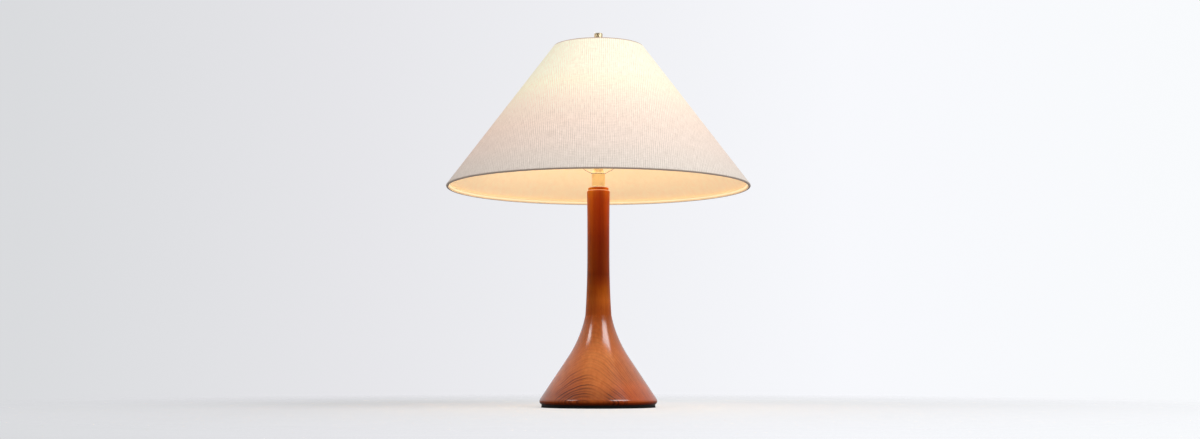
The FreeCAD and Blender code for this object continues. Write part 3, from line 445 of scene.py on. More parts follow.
def toned(paint, base, tones_and_shading):
    """Wood with its tone and painted light and shade by height, painted side light on the column, and
    painted light at the foot's low right.
    """
    x, _, z = paint.axes()
    top = tones_and_shading[-1][0]
    stops = [(height / top, tone) for height, tone in tones_and_shading]
    base = paint.mix(1.0, base, paint.ramp(paint.math("DIVIDE", z, top), *stops), "MULTIPLY")
    sideways = paint.spread(x, -HALF_COLUMN, HALF_COLUMN)
    above = paint.spread(z, 0.190, 0.225)
    below = paint.times(paint.spread(z, 0.130, 0.176), paint.spread(z, 0.225, 0.190))
    # Painted side light, brighter at the column's edges and on the right of its foot.
    for share, grain in ((above, COLUMN_SIDE_LIGHT_AND_FIGURE), (below, NECK_SIDE_LIGHT)):
        side_light = paint.mix(share, (1.0, 1.0, 1.0), paint.ramp(sideways, *grain))
        base = paint.mix(1.0, base, side_light, "MULTIPLY")
    # Painted light on the foot's low right, the side that the right window lights.
    lit_low_right = paint.times(
        paint.spread(z, 0.045, 0.020), paint.spread(x, 0.015, 0.045, smooth=True)
    )
    return paint.mix(lit_low_right, base, paint.mix(1.0, base, (1.45, 1.25, 0.95), "MULTIPLY"))


def red_teak():
    """The redder wood of the streaks, clouds and ripples."""
    return tuple(channel * share for channel, share in zip(colours().teak_light, (0.74, 0.56, 0.42)))


def painted_lip_highlight(paint, base):
    """Wood with a painted highlight: a bright edge on the chamfer under the column's lip."""
    z = paint.axes()[2]
    edge = paint.times(
        paint.spread(z, LIP_LOW, LIP_LOW + LIP_EDGE), paint.spread(z, LIP_HIGH, LIP_HIGH - LIP_EDGE)
    )
    return paint.mix(edge, base, (0.95, 0.54, 0.32))


def turning_ripple(paint, base):
    """Wood with the redder ripples that turning left round the neck's flare."""
    z = paint.axes()[2]
    wavy = paint.noise(paint.stretched(60.0, 60.0, 900.0), detail=2.0)
    band = paint.times(
        paint.spread(z, 0.085, 0.105, smooth=True), paint.spread(z, 0.15, 0.135, smooth=True)
    )
    ripples = paint.times(paint.spread(wavy, 0.45, 0.62, 0.0, 0.6), band)
    return paint.mix(ripples, base, red_teak())


def teak(name, layers, tones_and_shading, line_contrast, trim):
    """Lacquered teak: growth lines, pores, clouds, tone with painted light and shade, and the trim that
    the piece alone has: a painted highlight on the column's lip, or the ripples of turning on the foot.
    """
    paint = Paint(name, Specular_IOR_Level=0.05, Coat_Roughness=0.17, Coat_IOR=1.75)
    z = paint.axes()[2]
    light, dark, red = tuple(colours().teak_light), tuple(colours().teak_dark), red_teak()
    figured = figured_wood(paint)
    lines = growth_lines(paint, layers, figured)
    pores = paint.noise(paint.stretched(1900.0, 1900.0, 70.0), detail=2.0)
    pores = paint.spread(pores, 0.58, 0.74, smooth=True)
    streaks = paint.noise(paint.stretched(160.0, 160.0, 5.0), detail=4.0, roughness=0.6)
    clouds = paint.noise(scale=11.0, detail=2.0)
    base = paint.mix(paint.spread(streaks, 0.3, 0.7, 0.0, 0.75), light, red)
    base = paint.mix(paint.spread(clouds, 0.35, 0.7, 0.0, 0.5), base, red)
    base = paint.mix(paint.times(figured, 0.55), base, red)
    base = paint.mix(paint.math("MULTIPLY", lines, line_contrast, clamp=True), base, dark)
    base = paint.mix(paint.times(pores, 0.42), base, dark)
    paint.out("Base Color", trim(paint, toned(paint, base, tones_and_shading)))
    # Glossy below the neck, almost matt on the column, and bare at the foot's bottom edge.
    gloss = paint.spread(z, 0.151, 0.137, 0.12, 0.80)
    paint.out("Coat Weight", paint.times(gloss, paint.spread(z, 0.0098, 0.0118)))
    worn = paint.noise(scale=60.0, detail=3.0)
    paint.out("Roughness", paint.spread(worn, 0.3, 0.7, 0.28, 0.40))
    relief = paint.math("SUBTRACT", 1.0, paint.times(pores, 0.8))
    paint.bump(paint.math("SUBTRACT", relief, paint.times(lines, 0.15)), 0.00005, 0.5)
    return paint.material


# ---------------------------------------------------------------- metal, linen and glass


def metal(name, colour, roughness, turning=0.0):
    """A metal with fine turning marks round the axis and slight stains."""
    paint = Paint(name, Metallic=1.0)
    marks = paint.noise(paint.stretched(40.0, 40.0, 5200.0), detail=2.0)
    stains = paint.noise(scale=70.0, detail=4.0, roughness=0.65)
    dull = tuple(channel * share for channel, share in zip(colour, (0.66, 0.58, 0.5)))
    stained = paint.spread(stains, 0.45, 0.8, 0.0, 0.48)
    paint.out("Base Color", paint.mix(stained, colour, dull))
    uneven = paint.spread(stains, 0.3, 0.75, roughness * 0.8, roughness * 1.35)
    paint.out("Roughness", paint.plus(uneven, paint.spread(marks, 0.3, 0.7, -0.03, 0.03)))
    paint.bump(marks, 0.00002, 0.15 + turning)
    return paint.material


# The bulb's light on the shade's top edge, which counts as 1.
TOP_EDGE_LIGHT = 62.0
# A height between the shade's two edges, to tell them apart.
MIDDLE_OF_SHADE = 0.5
THREADS_IN_A_GROUP = 4


def development(paint):
    """Each point's place on the linen's flat cut, its radius and height, and how the cone falls."""
    s = sizes()
    x, y, z = paint.axes()
    run = s.ring_radius_bottom - s.ring_radius_top
    drop = s.ring_height_bottom - s.ring_height_top
    fall = Vector((run, drop)).normalized()
    radius = paint.math("SQRT", paint.plus(paint.times(x, x), paint.times(y, y)))
    turn = paint.math("ARCTAN2", x, paint.times(y, -1.0))
    flat_turn = paint.times(turn, fall.x)
    reach = paint.math("DIVIDE", radius, fall.x)
    across = paint.times(reach, paint.math("SINE", flat_turn))
    down = paint.times(reach, paint.math("COSINE", flat_turn))
    return across, down, radius, z, fall


def lamp_light(paint, radius, z, fall):
    """How strongly the bulb lights the cone there, from 0 to about 1 at the top edge."""
    rise = paint.math("SUBTRACT", z, sizes().bulb_height)
    square = paint.plus(paint.times(radius, radius), paint.times(rise, rise))
    distance = paint.math("SQRT", square)
    facing = paint.plus(paint.times(radius, -fall.y), paint.times(rise, fall.x))
    light = paint.math("DIVIDE", facing, paint.times(square, distance))
    return paint.math("DIVIDE", light, TOP_EDGE_LIGHT)


def plain_weave(paint, across, down):
    """The threads' relief: each goes over one thread and under the next."""
    pitch = 2 * math.pi / sizes().thread_pitch
    warp = paint.math("SINE", paint.times(across, pitch))
    weft = paint.math("SINE", paint.times(down, pitch))
    over = paint.times(
        paint.math("SINE", paint.times(across, pitch / 2)),
        paint.math("SINE", paint.times(down, pitch / 2)),
    )
    warp_above = paint.plus(0.5, paint.times(over, 0.5))
    weft_above = paint.math("SUBTRACT", 0.5, paint.times(over, 0.5))
    return paint.plus(paint.times(warp, warp_above), paint.times(weft, weft_above))


def slubbed(paint, flat):
    """Thick and thin places along both ways of the threads, and the fibres between."""
    warp_slubs = paint.noise(paint.stretched(820.0, 60.0, 1.0, flat), detail=1.0)
    weft_slubs = paint.noise(paint.stretched(60.0, 760.0, 1.0, flat, (5, 3, 0)), detail=1.0)
    fibres = paint.stretched(620.0, 540.0, 1.0, flat, (2, 9, 0))
    fibres = paint.noise(fibres, detail=2.0, roughness=0.6)
    return paint.plus(
        paint.times(warp_slubs, 0.42), paint.times(weft_slubs, 0.26), paint.times(fibres, 0.32)
    )


def thread_lines(paint, flat, across, down):
    """Faint lines where threads lie in groups, wandering a little and strong in patches."""
    turns = 2 * math.pi / sizes().thread_pitch / THREADS_IN_A_GROUP
    lines = []
    for along, other, wobble, patch, contrast in (
        (across, down, 16.0, (17.0, 11.0, 1.0), 0.115),
        (down, across, 13.0, (9.0, 19.0, 1.0), 0.048),
    ):
        wander = paint.noise(paint.vector(other, along, 0.0), scale=wobble, detail=1.0)
        phase = paint.plus(paint.times(along, turns), paint.times(wander, 5.0))
        patches = paint.noise(paint.stretched(*patch, flat), detail=1.0)
        patches = paint.spread(patches, 0.35, 0.65, 0.35, 1.0)
        lines.append(paint.times(paint.math("SINE", phase), patches, contrast))
    return paint.plus(*lines)


def linen():
    """Plain-woven linen with slubs, glowing where the bulb is near."""
    paint = Paint("linen", Roughness=0.85, Sheen_Weight=0.15, Emission_Strength=1.0)
    across, down, radius, z, fall = development(paint)
    flat = paint.vector(across, down, 0.0)
    weave = plain_weave(paint, across, down)
    slubs = slubbed(paint, flat)
    tone = paint.plus(
        paint.spread(slubs, 0.36, 0.64, 0.89, 1.13),
        paint.times(weave, 0.03),
        thread_lines(paint, flat, across, down),
    )
    threads = paint.vector(tone, paint.math("POWER", tone, 1.15), paint.math("POWER", tone, 1.3))
    top, bottom = sizes().ring_height_top, sizes().ring_height_bottom
    # Painted shade on both rolled edges, where the ring wire and the doubled linen keep out the bulb's
    # light.
    shaded_rolls = paint.math(
        "MAXIMUM",
        paint.spread(z, top - 0.0006, top + 0.0012, smooth=True),
        paint.spread(z, bottom + 0.0010, bottom - 0.0008, smooth=True),
    )
    cloth = paint.mix(1.0, tuple(colours().linen), threads, "MULTIPLY")
    paint.out("Base Color", paint.mix(shaded_rolls, cloth, (0.40, 0.31, 0.25)))
    glow = paint.ramp(
        lamp_light(paint, radius, z, fall),
        (0.00, (0.03, 0.015, 0.005)),
        (0.08, (0.06, 0.025, 0.010)),
        (0.14, (0.16, 0.065, 0.030)),
        (0.24, (0.24, 0.105, 0.045)),
        (0.45, (0.31, 0.19, 0.09)),
        (0.75, (0.35, 0.295, 0.13)),
        (1.00, (0.34, 0.315, 0.165)),
    )
    lit = paint.mix(1.0, glow, threads, "MULTIPLY")
    # The rolls have painted shade; only the roll at the top glows, faintly.
    edge_glow = paint.math("GREATER_THAN", z, MIDDLE_OF_SHADE)
    edge_glow = paint.mix(edge_glow, (0.0, 0.0, 0.0), (0.14, 0.07, 0.04))
    paint.out("Emission Color", paint.mix(shaded_rolls, lit, edge_glow))
    paint.bump(paint.plus(weave, paint.times(slubs, 2.0)), 0.00012, 0.6)
    return paint.material


def bent_brass(colour):
    """Pale brass with painted light: a glow from the bulb on the upper faces, and painted shade
    underneath.
    """
    made = metal("bent_brass", colour, 0.24, 0.1)
    paint = Nodes(made.node_tree)
    shader = made.node_tree.nodes["Principled BSDF"]
    faces_up = paint.axes(paint.node("ShaderNodeNewGeometry").outputs["Normal"])[2]
    painted_shade_below = paint.spread(faces_up, 0.05, -0.25)
    bare = shader.inputs["Base Color"].links[0].from_socket
    paint.feed(shader.inputs["Base Color"], paint.mix(painted_shade_below, bare, (0.16, 0.07, 0.02)))
    painted_glow_above = paint.mix(painted_shade_below, (0.34, 0.27, 0.15), (0.0, 0.0, 0.0))
    paint.feed(shader.inputs["Emission Color"], painted_glow_above)
    shader.inputs["Emission Strength"].default_value = 1.0
    return made


def hem_lining():
    """The turned-in linen, which the bulb lights from inside."""
    paint = Paint("hem_inside", Roughness=0.85, Emission_Strength=1.0)
    threads = paint.noise(scale=900.0, detail=3.0)
    shade = paint.spread(threads, 0.3, 0.7, 0.92, 1.05)
    tint = paint.vector(shade, shade, shade)
    z = paint.axes()[2]
    # At the bottom its glow changes by height, from 2 mm below the ring to 6 mm above: a painted
    # highlight from about 1 to 3 mm over the ring, and painted shade at the flap's edge.
    over_ring = paint.math("SUBTRACT", z, sizes().ring_height_bottom)
    glow = paint.ramp(
        paint.spread(over_ring, -0.002, 0.006),
        (0.00, (0.30, 0.17, 0.07)),
        (0.26, (0.36, 0.20, 0.08)),
        (0.34, (0.64, 0.52, 0.28)),
        (0.56, (0.62, 0.49, 0.26)),
        (0.62, (0.30, 0.17, 0.08)),
        (0.96, (0.28, 0.16, 0.075)),
        (1.00, (0.18, 0.09, 0.03)),
    )
    at_top = paint.math("GREATER_THAN", z, MIDDLE_OF_SHADE)
    glow = paint.mix(at_top, glow, (0.52, 0.36, 0.17))
    paint.out("Base Color", paint.mix(1.0, (0.80, 0.70, 0.55), tint, "MULTIPLY"))
    paint.out("Emission Color", paint.mix(1.0, glow, tint, "MULTIPLY"))
    paint.bump(threads, 0.0001, 0.5)
    return paint.material


def lining():
    """The cream lining, lit from within."""
    paint = Paint("lining", Roughness=0.6, Emission_Strength=1.0)
    across, down, radius, z, fall = development(paint)
    flat = paint.vector(across, down, 0.0)
    mottle = paint.noise(paint.stretched(90.0, 90.0, 1.0, flat), detail=4.0, roughness=0.7)
    shade = paint.spread(mottle, 0.3, 0.7, 0.95, 1.03)
    tint = paint.vector(shade, shade, paint.math("POWER", shade, 1.3))
    paint.out("Base Color", paint.mix(1.0, (0.86, 0.78, 0.62), tint, "MULTIPLY"))
    glow = paint.ramp(
        lamp_light(paint, radius, z, fall),
        (0.07, (0.24, 0.130, 0.062)),
        (0.14, (0.36, 0.220, 0.106)),
        (0.24, (0.45, 0.32, 0.155)),
        (0.60, (0.52, 0.41, 0.21)),
        (1.00, (0.56, 0.46, 0.27)),
    )
    paint.out("Emission Color", paint.mix(1.0, glow, tint, "MULTIPLY"))
    paint.bump(mottle, 0.00008, 0.4)
    return paint.material


def speckled(name, colour, other, scale, relief, **principled):
    """A matt or moulded surface: two tones in a fine noise, with its grain in relief."""
    paint = Paint(name, **principled)
    grain = paint.noise(scale=scale, detail=4.0, roughness=0.65)
    paint.out("Base Color", paint.mix(paint.spread(grain, 0.35, 0.7), colour, other))
    paint.bump(grain, relief, 0.6)
    return paint.material


def lit_glass():
    """Frosted glass with the lit filament behind it."""
    paint = Paint("frosted_glass", Roughness=0.35, Emission_Strength=1.0)
    z = paint.axes()[2]
    frost = paint.noise(scale=900.0, detail=3.0)
    # The glow fades down the neck.
    bright = paint.spread(z, 0.452, 0.492, 0.35, 1.0, smooth=True)
    haze = paint.times(bright, paint.spread(frost, 0.3, 0.7, 0.97, 1.03))
    paint.out("Base Color", (0.9, 0.86, 0.78))
    paint.out("Emission Color", paint.mix(haze, (0.40, 0.20, 0.07), (1.0, 0.90, 0.66)))
    paint.bump(frost, 0.00003, 0.3)
    return paint.material


# ---------------------------------------------------------------- meshes


def mesh_object(name, points, faces, material, body):
    """A smooth piece of the scene that rides on a CAD body and wears one material."""
    data = bpy.data.meshes.new(name)
    data.from_pydata(points, [], faces)
    data.materials.append(material)
    data.shade_smooth()
    piece = bpy.data.objects.new(name, data)
    bpy.context.scene.collection.objects.link(piece)
    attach(piece, body)
    return piece


# Steps along the linen from edge to edge: each flap, each roll round a ring, and the slant.
FLAP_STEPS = 5
ROLL_STEPS = 12
SLANT_STEPS = 40
# Steps from each edge whose linen is turned in and lit by the bulb.
TURNED_IN_STEPS = 6
# Steps round the shade.
SHADE_STEPS = 320
# The gap between the lapped layers.
LAP_GAP = 0.00004
# How high the linen puckers, and how closely, by radius and by height.
PUCKER_HEIGHT = 0.00006
PUCKERS_ROUND = 40
PUCKERS_DOWN = 60


def rolled_hem(ring, up, out, inwards):
    """One turned-in flap and the roll round its ring wire, as places and outward directions."""
    s = sizes()
    middle_r = s.roll_radius - s.cloth_thickness / 2
    points = []
    for k in range(FLAP_STEPS):
        along = s.flap * (1 - k / FLAP_STEPS)
        points.append((ring + up * (along * inwards) - out * middle_r, -out))
    for k in range(ROLL_STEPS + 1):
        angle = math.pi * (k / ROLL_STEPS)
        facing = -out * math.cos(angle) - up * (inwards * math.sin(angle))
        points.append((ring + facing * middle_r, facing))
    return points


def linen_path():
    """The middle of the linen from flap to flap, as (radius, height) and outward direction."""
    s = sizes()
    bottom = Vector((s.ring_radius_bottom, s.ring_height_bottom))
    top = Vector((s.ring_radius_top, s.ring_height_top))
    up = (top - bottom).normalized()
    out = Vector((up.y, -up.x))
    middle_r = s.roll_radius - s.cloth_thickness / 2
    path = rolled_hem(bottom, up, out, 1)
    for k in range(1, SLANT_STEPS):
        path.append((bottom.lerp(top, k / SLANT_STEPS) + out * middle_r, out))
    path += rolled_hem(top, up, out, -1)[::-1]
    return path


def linen_points(path):
    """The linen's outer and inner points round the shade, lapped down the back and puckered."""
    s = sizes()
    points = []
    for side in (s.cloth_thickness / 2, -s.cloth_thickness / 2):
        for j in range(SHADE_STEPS + 1):
            for place, facing in path:
                lap = s.seam_width / 2 / place.x
                turn = (-math.pi - lap) + (2 * math.pi + 2 * lap) * j / SHADE_STEPS
                # The sheet's last stretch rises over its first to lap it.
                past = (turn - (math.pi - 2.2 * lap)) / (1.2 * lap)
                lift = (s.cloth_thickness + LAP_GAP) * max(0.0, min(1.0, past))
                x, y = math.sin(turn) * PUCKERS_ROUND, math.cos(turn) * PUCKERS_ROUND
                pucker = noise.noise(Vector((x, y, place.y * PUCKERS_DOWN))) * PUCKER_HEIGHT
                spot = place + facing * (side + lift + pucker)
                points.append((spot.x * math.sin(turn), -spot.x * math.cos(turn), spot.y))
    return points


def linen_faces(row):
    """The faces of both sides of the linen and of its four edges, for rows of that many points."""
    layer = (SHADE_STEPS + 1) * row
    faces = []
    for j in range(SHADE_STEPS):
        for i in range(row - 1):
            a = j * row + i
            faces.append((a, a + row, a + row + 1, a + 1))
            b = layer + a
            faces.append((b, b + 1, b + row + 1, b + row))
        for i, flip in ((0, False), (row - 1, True)):
            a = j * row + i
            ring = (a, layer + a, layer + a + row, a + row)
            faces.append(ring[::-1] if flip else ring)
    for j, flip in ((0, True), (SHADE_STEPS, False)):
        for i in range(row - 1):
            a = j * row + i
            end = (a, layer + a, layer + a + 1, a + 1)
            faces.append(end if flip else end[::-1])
    return faces


def linen_cover(material, inside):
    """One sheet of linen: rolled over both rings and lapped down the back."""
    path = linen_path()
    row = len(path)
    cover = mesh_object("linen_cover", linen_points(path), linen_faces(row), material, "shade")
    cover.data.materials.append(inside)
    for face in cover.data.polygons:
        along = [index % row for index in face.vertices]
        if max(along) <= TURNED_IN_STEPS or min(along) >= row - 1 - TURNED_IN_STEPS:
            face.material_index = 1
    return cover


def linen_cut():
    """Width, length and area of the flat ring sector that the cover is cut from."""
    s = sizes()
    path = linen_path()
    steps = [(a[0], b[0]) for a, b in zip(path, path[1:])]
    long = sum((b - a).length for a, b in steps)
    mean = sum((a.x + b.x) / 2 * (b - a).length for a, b in steps) / long
    area = 2 * math.pi * mean * long + s.seam_width * long
    run = s.ring_radius_bottom - s.ring_radius_top
    slope = run / math.hypot(run, s.ring_height_top - s.ring_height_bottom)
    flap = s.flap + math.pi * s.roll_radius
    outer = max(place.x for place, _ in path) / slope + flap
    return 2 * outer, outer * (1 - math.cos(math.pi * slope)), area


def lathe(name, profile, steps, material, body):
    """A smooth closed piece of revolution from (radius, height) corners in order round its section."""
    points, rings = [], []
    for radius, height in profile:
        if radius < 1e-6:
            rings.append([len(points)] * steps)
            points.append((0.0, 0.0, height))
        else:
            rings.append(list(range(len(points), len(points) + steps)))
            for j in range(steps):
                turn = 2 * math.pi * j / steps
                points.append((radius * math.cos(turn), radius * math.sin(turn), height))
    faces = []
    for here, ahead in zip(rings, rings[1:] + rings[:1]):
        for j in range(steps):
            k = (j + 1) % steps
            corners = list(dict.fromkeys((here[j], here[k], ahead[k], ahead[j])))
            if len(corners) > 2:
                faces.append(corners)
    return mesh_object(name, points, faces, material, body)


# The lean of the glass where the globe runs into the neck, in degrees, and the curve between them.
NECK_LEAN = 36.0
NECK_FLARE = 0.016
NECK_STEPS = 8
GLOBE_STEPS = 28
BULB_SIDES = 72
# The screw thread's rise in one turn, its depth, and the length over which it runs out at each end.
THREAD_RISE = 0.00363
THREAD_DEPTH = 0.0012
THREAD_RUN_OUT = 0.001
THREAD_SIDES = 40
STEPS_A_TURN = 14


def arc_points(centre, radius, start, end, steps):
    """Points (radius, height) on an arc between two angles in degrees."""
    angles = [math.radians(start + (end - start) * k / steps) for k in range(steps + 1)]
    return [(centre[0] + radius * math.cos(a), centre[1] + radius * math.sin(a)) for a in angles]


def bulb_profile(foot):
    """The glass's section: up the outside from its foot to the crown, and down the inside."""
    s = sizes()
    lean = math.radians(NECK_LEAN)
    leave = s.bulb_height - s.bulb_radius * math.sin(lean)
    fall = (s.bulb_radius * math.cos(lean) - s.bulb_neck) / math.tan(lean)
    middle = (s.bulb_neck + NECK_FLARE, leave - fall - NECK_FLARE * math.tan(lean / 2))
    globe = (0.0, s.bulb_height)
    section = []
    for wall in (0.0, s.bulb_wall):
        side = [(s.bulb_neck - wall, foot)]
        side += arc_points(middle, NECK_FLARE + wall, 180.0, 180.0 - NECK_LEAN, NECK_STEPS)
        side += arc_points(globe, s.bulb_radius - wall, -NECK_LEAN, 90.0, GLOBE_STEPS)
        section.append(side)
    outside, inside = section
    return outside + inside[::-1]


def screw_thread(name, radius, low, high, material, body):
    """A rolled round thread on a screw cap, closed at both ends."""
    core = radius - THREAD_DEPTH
    rows = int((high - low) / THREAD_RISE * STEPS_A_TURN)
    points = []
    for k in range(rows + 1):
        z = low + (high - low) * k / rows
        fade = min(1.0, (z - low) / THREAD_RUN_OUT, (high - z) / THREAD_RUN_OUT)
        for j in range(THREAD_SIDES):
            turn = 2 * math.pi * j / THREAD_SIDES
            wave = 0.5 + 0.5 * math.cos(2 * math.pi * (z / THREAD_RISE) - turn)
            r = core + (radius - core) * wave * max(fade, 0.0)
            points.append((r * math.cos(turn), r * math.sin(turn), z))
    faces = []
    for k in range(rows):
        for j in range(THREAD_SIDES):
            a = k * THREAD_SIDES + j
            b = k * THREAD_SIDES + (j + 1) % THREAD_SIDES
            faces.append((a, b, b + THREAD_SIDES, a + THREAD_SIDES))
    faces.append(tuple(range(THREAD_SIDES))[::-1])
    faces.append(tuple(rows * THREAD_SIDES + j for j in range(THREAD_SIDES)))
    return mesh_object(name, points, faces, material, body)


# ---------------------------------------------------------------- operators


class LAMP_OT_wood(bpy.types.Operator):
    """Finish the turned foot and column in lacquered teak"""

    bl_idname = "lamp.wood"
    bl_label = "Teak foot and column"

    def execute(self, context):
        wear(teak("teak_foot", FOOT_LAYERS, FOOT_TONE_AND_SHADING, 1.0, turning_ripple), "wood_foot")
        wear(teak("teak_column", COLUMN_LAYERS, COLUMN_TONE_AND_SHADING, 0.25, painted_lip_highlight), "wood_column")
        return {"FINISHED"}


class LAMP_OT_base(bpy.types.Operator):
    """Finish the felt, the closing plate, the weight, and the black inlet and switch key"""

    bl_idname = "lamp.base"
    bl_label = "Felt, plate and inlet"

    def execute(self, context):
        wear(
            speckled("felt", (0.004, 0.004, 0.004), (0.016, 0.015, 0.015), 1400.0, 0.0003,
                     Roughness=1.0, Specular_IOR_Level=0.05),
            "felt_pad",
        )
        wear(
            speckled("black_paint", (0.004, 0.004, 0.004), (0.010, 0.010, 0.009), 500.0, 0.00003,
                     Roughness=0.55, Specular_IOR_Level=0.12),
            "closing_plate",
        )
        wear(
            speckled("black_plastic", (0.016, 0.016, 0.016), (0.030, 0.029, 0.028), 700.0, 0.00002,
                     Roughness=0.3),
            "inlet_bushing", "switch_key",
        )
        wear(
            speckled("cast_iron", (0.05, 0.05, 0.052), (0.14, 0.13, 0.125), 420.0, 0.0002,
                     Metallic=1.0, Roughness=0.6),
            "foot_weight",
        )
        return {"FINISHED"}


class LAMP_OT_metals(bpy.types.Operator):
    """Finish the brass, plated and steel fittings"""

    bl_idname = "lamp.metals"
    bl_label = "Brass and steel fittings"

    def execute(self, context):
        brass = tuple(colours().brass)
        satin = tuple(channel * share for channel, share in zip(brass, (0.94, 0.96, 1.05)))
        # The pale brass is the brass lightened to paint the bulb's light onto the neck ring and the
        # saddle.
        pale = tuple(1.0 - (1.0 - channel) * 0.45 for channel in brass)
        wear(metal("brass", brass, 0.16), "neck_tube", "terminal_screws")
        wear(metal("finial_brass", satin, 0.40), "finial")
        wear(metal("brass_with_painted_light", pale, 0.40), "neck_ring")
        wear(bent_brass(pale), "harp_saddle")
        wear(
            metal("satin_brass", satin, 0.26, 0.1),
            "saddle_nut", "harp_wire", "harp_sleeve_left", "harp_sleeve_right", "swivel_stud",
            "socket_cap", "socket_shell", "thread_shell", "centre_contact",
        )
        # Painted shadow: the seat washer is painted dark where the saddle shades it.
        wear(metal("washer_in_painted_shadow", (0.10, 0.06, 0.03), 0.45), "seat_washer")
        wear(
            metal("zinc_steel", (0.56, 0.57, 0.58), 0.3),
            "plate_screws", "weight_washer", "lock_washer", "pipe_nut", "threaded_pipe",
            "cap_set_screw", "switch_shaft", "bulb_tip", "bulb_filament",
        )
        wear(
            speckled("white_wire", (0.80, 0.79, 0.75), (0.70, 0.68, 0.63), 300.0, 0.00003,
                     Roughness=0.4),
            "spider", "shade_top_ring", "shade_bottom_ring",
        )
        return {"FINISHED"}


class LAMP_OT_socket(bpy.types.Operator):
    """Finish the socket's insulating parts"""

    bl_idname = "lamp.socket"
    bl_label = "Socket insides"

    def execute(self, context):
        wear(
            speckled("card", (0.42, 0.33, 0.22), (0.34, 0.26, 0.17), 240.0, 0.00008, Roughness=0.8),
            "socket_insulator",
        )
        wear(
            speckled("porcelain", (0.84, 0.82, 0.76), (0.80, 0.77, 0.70), 90.0, 0.00003,
                     Roughness=0.18),
            "socket_core",
        )
        return {"FINISHED"}


class LAMP_OT_bulb(bpy.types.Operator):
    """Build the bulb's rolled screw cap and light its glass"""

    bl_idname = "lamp.bulb"
    bl_label = "Lit bulb"

    def execute(self, context):
        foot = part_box("bulb_glass")[0].z
        profile = bulb_profile(foot)
        glass = lathe("bulb_globe", profile, BULB_SIDES, lit_glass(), "bulb")
        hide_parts("bulb_glass")
        aluminium = metal("bulb_aluminium", (0.74, 0.74, 0.73), 0.28)
        low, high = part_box("bulb_screw_cap")
        cap = screw_thread(
            "bulb_threaded_cap", high.x, low.z, high.z, aluminium, "bulb"
        )
        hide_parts("bulb_screw_cap")
        wear(
            speckled("black_glaze", (0.012, 0.012, 0.014), (0.03, 0.03, 0.032), 200.0, 0.00002,
                     Roughness=0.12),
            "bulb_insulator",
        )
        wear(
            speckled("clear_glass", (0.86, 0.88, 0.88), (0.80, 0.82, 0.82), 120.0, 0.00002,
                     Roughness=0.06),
            "bulb_mount",
        )
        # The light inside the bulb shines past its own glass and wires.
        for piece in (glass, NODES["bulb_mount"], NODES["bulb_filament"]):
            piece.visible_shadow = False
        return {"FINISHED"}


class LAMP_OT_shade(bpy.types.Operator):
    """Wrap the linen round its rings and finish the lining"""

    bl_idname = "lamp.shade"
    bl_label = "Linen shade"

    def execute(self, context):
        cover = linen_cover(linen(), hem_lining())
        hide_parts("shade_fabric")
        width, length, area = linen_cut()
        wear(lining(), "shade_liner")
        return {"FINISHED"}


class LAMP_OT_stage(bpy.types.Operator):
    """Set up the floor, the pale wall, the lights and the camera"""

    bl_idname = "lamp.stage"
    bl_label = "Stage, light and camera"

    def execute(self, context):
        floor()
        wall()
        lights()
        camera()
        return {"FINISHED"}


# ---------------------------------------------------------------- stage


FLOOR_REACH = 2.0
LIGHT_DISTANCE = 2.3
LIGHT_AIM = (0, 0, 0.25)
BULB_LIGHT_RADIUS = 0.026
CAMERA_PLACE = (0.0027, -2.508, 0.0615)
# Degrees that the camera looks up from level.
CAMERA_LIFT = 5.70
CAMERA_SENSOR = 36.0
# The camera's focal length as a share of the picture's width.
CAMERA_FOCUS = 1507 / 1200


def floor():
    """A pale floor that runs out softly into the wall."""
    paint = Paint("floor", Roughness=0.95, Emission_Strength=1.0)
    x, y, _ = paint.axes()
    grain = paint.spread(paint.noise(scale=30.0, detail=4.0), 0.3, 0.7)
    paint.out("Base Color", paint.mix(grain, (0.39, 0.39, 0.395), (0.41, 0.41, 0.415)))
    radius = paint.math("SQRT", paint.plus(paint.times(x, x), paint.times(y, y)))
    near = paint.spread(radius, 0.35, 1.5, 1.0, 0.0, smooth=True)
    above = paint.math("SUBTRACT", 1.0, paint.node("ShaderNodeNewGeometry").outputs["Backfacing"])
    paint.out("Alpha", paint.times(near, above))
    seen = paint.node("ShaderNodeLightPath").outputs["Is Camera Ray"]
    pale = paint.mix(paint.spread(x, -0.5, 0.2), (0.33, 0.33, 0.34), (0.44, 0.44, 0.45))
    paint.out("Emission Color", paint.mix(seen, (0.0, 0.0, 0.0), pale))
    r = FLOOR_REACH
    data = bpy.data.meshes.new("floor")
    data.from_pydata([(-r, -r, 0), (r, -r, 0), (r, r, 0), (-r, r, 0)], [], [(0, 1, 2, 3)])
    data.materials.append(paint.material)
    piece = bpy.data.objects.new("floor", data)
    bpy.context.scene.collection.objects.link(piece)


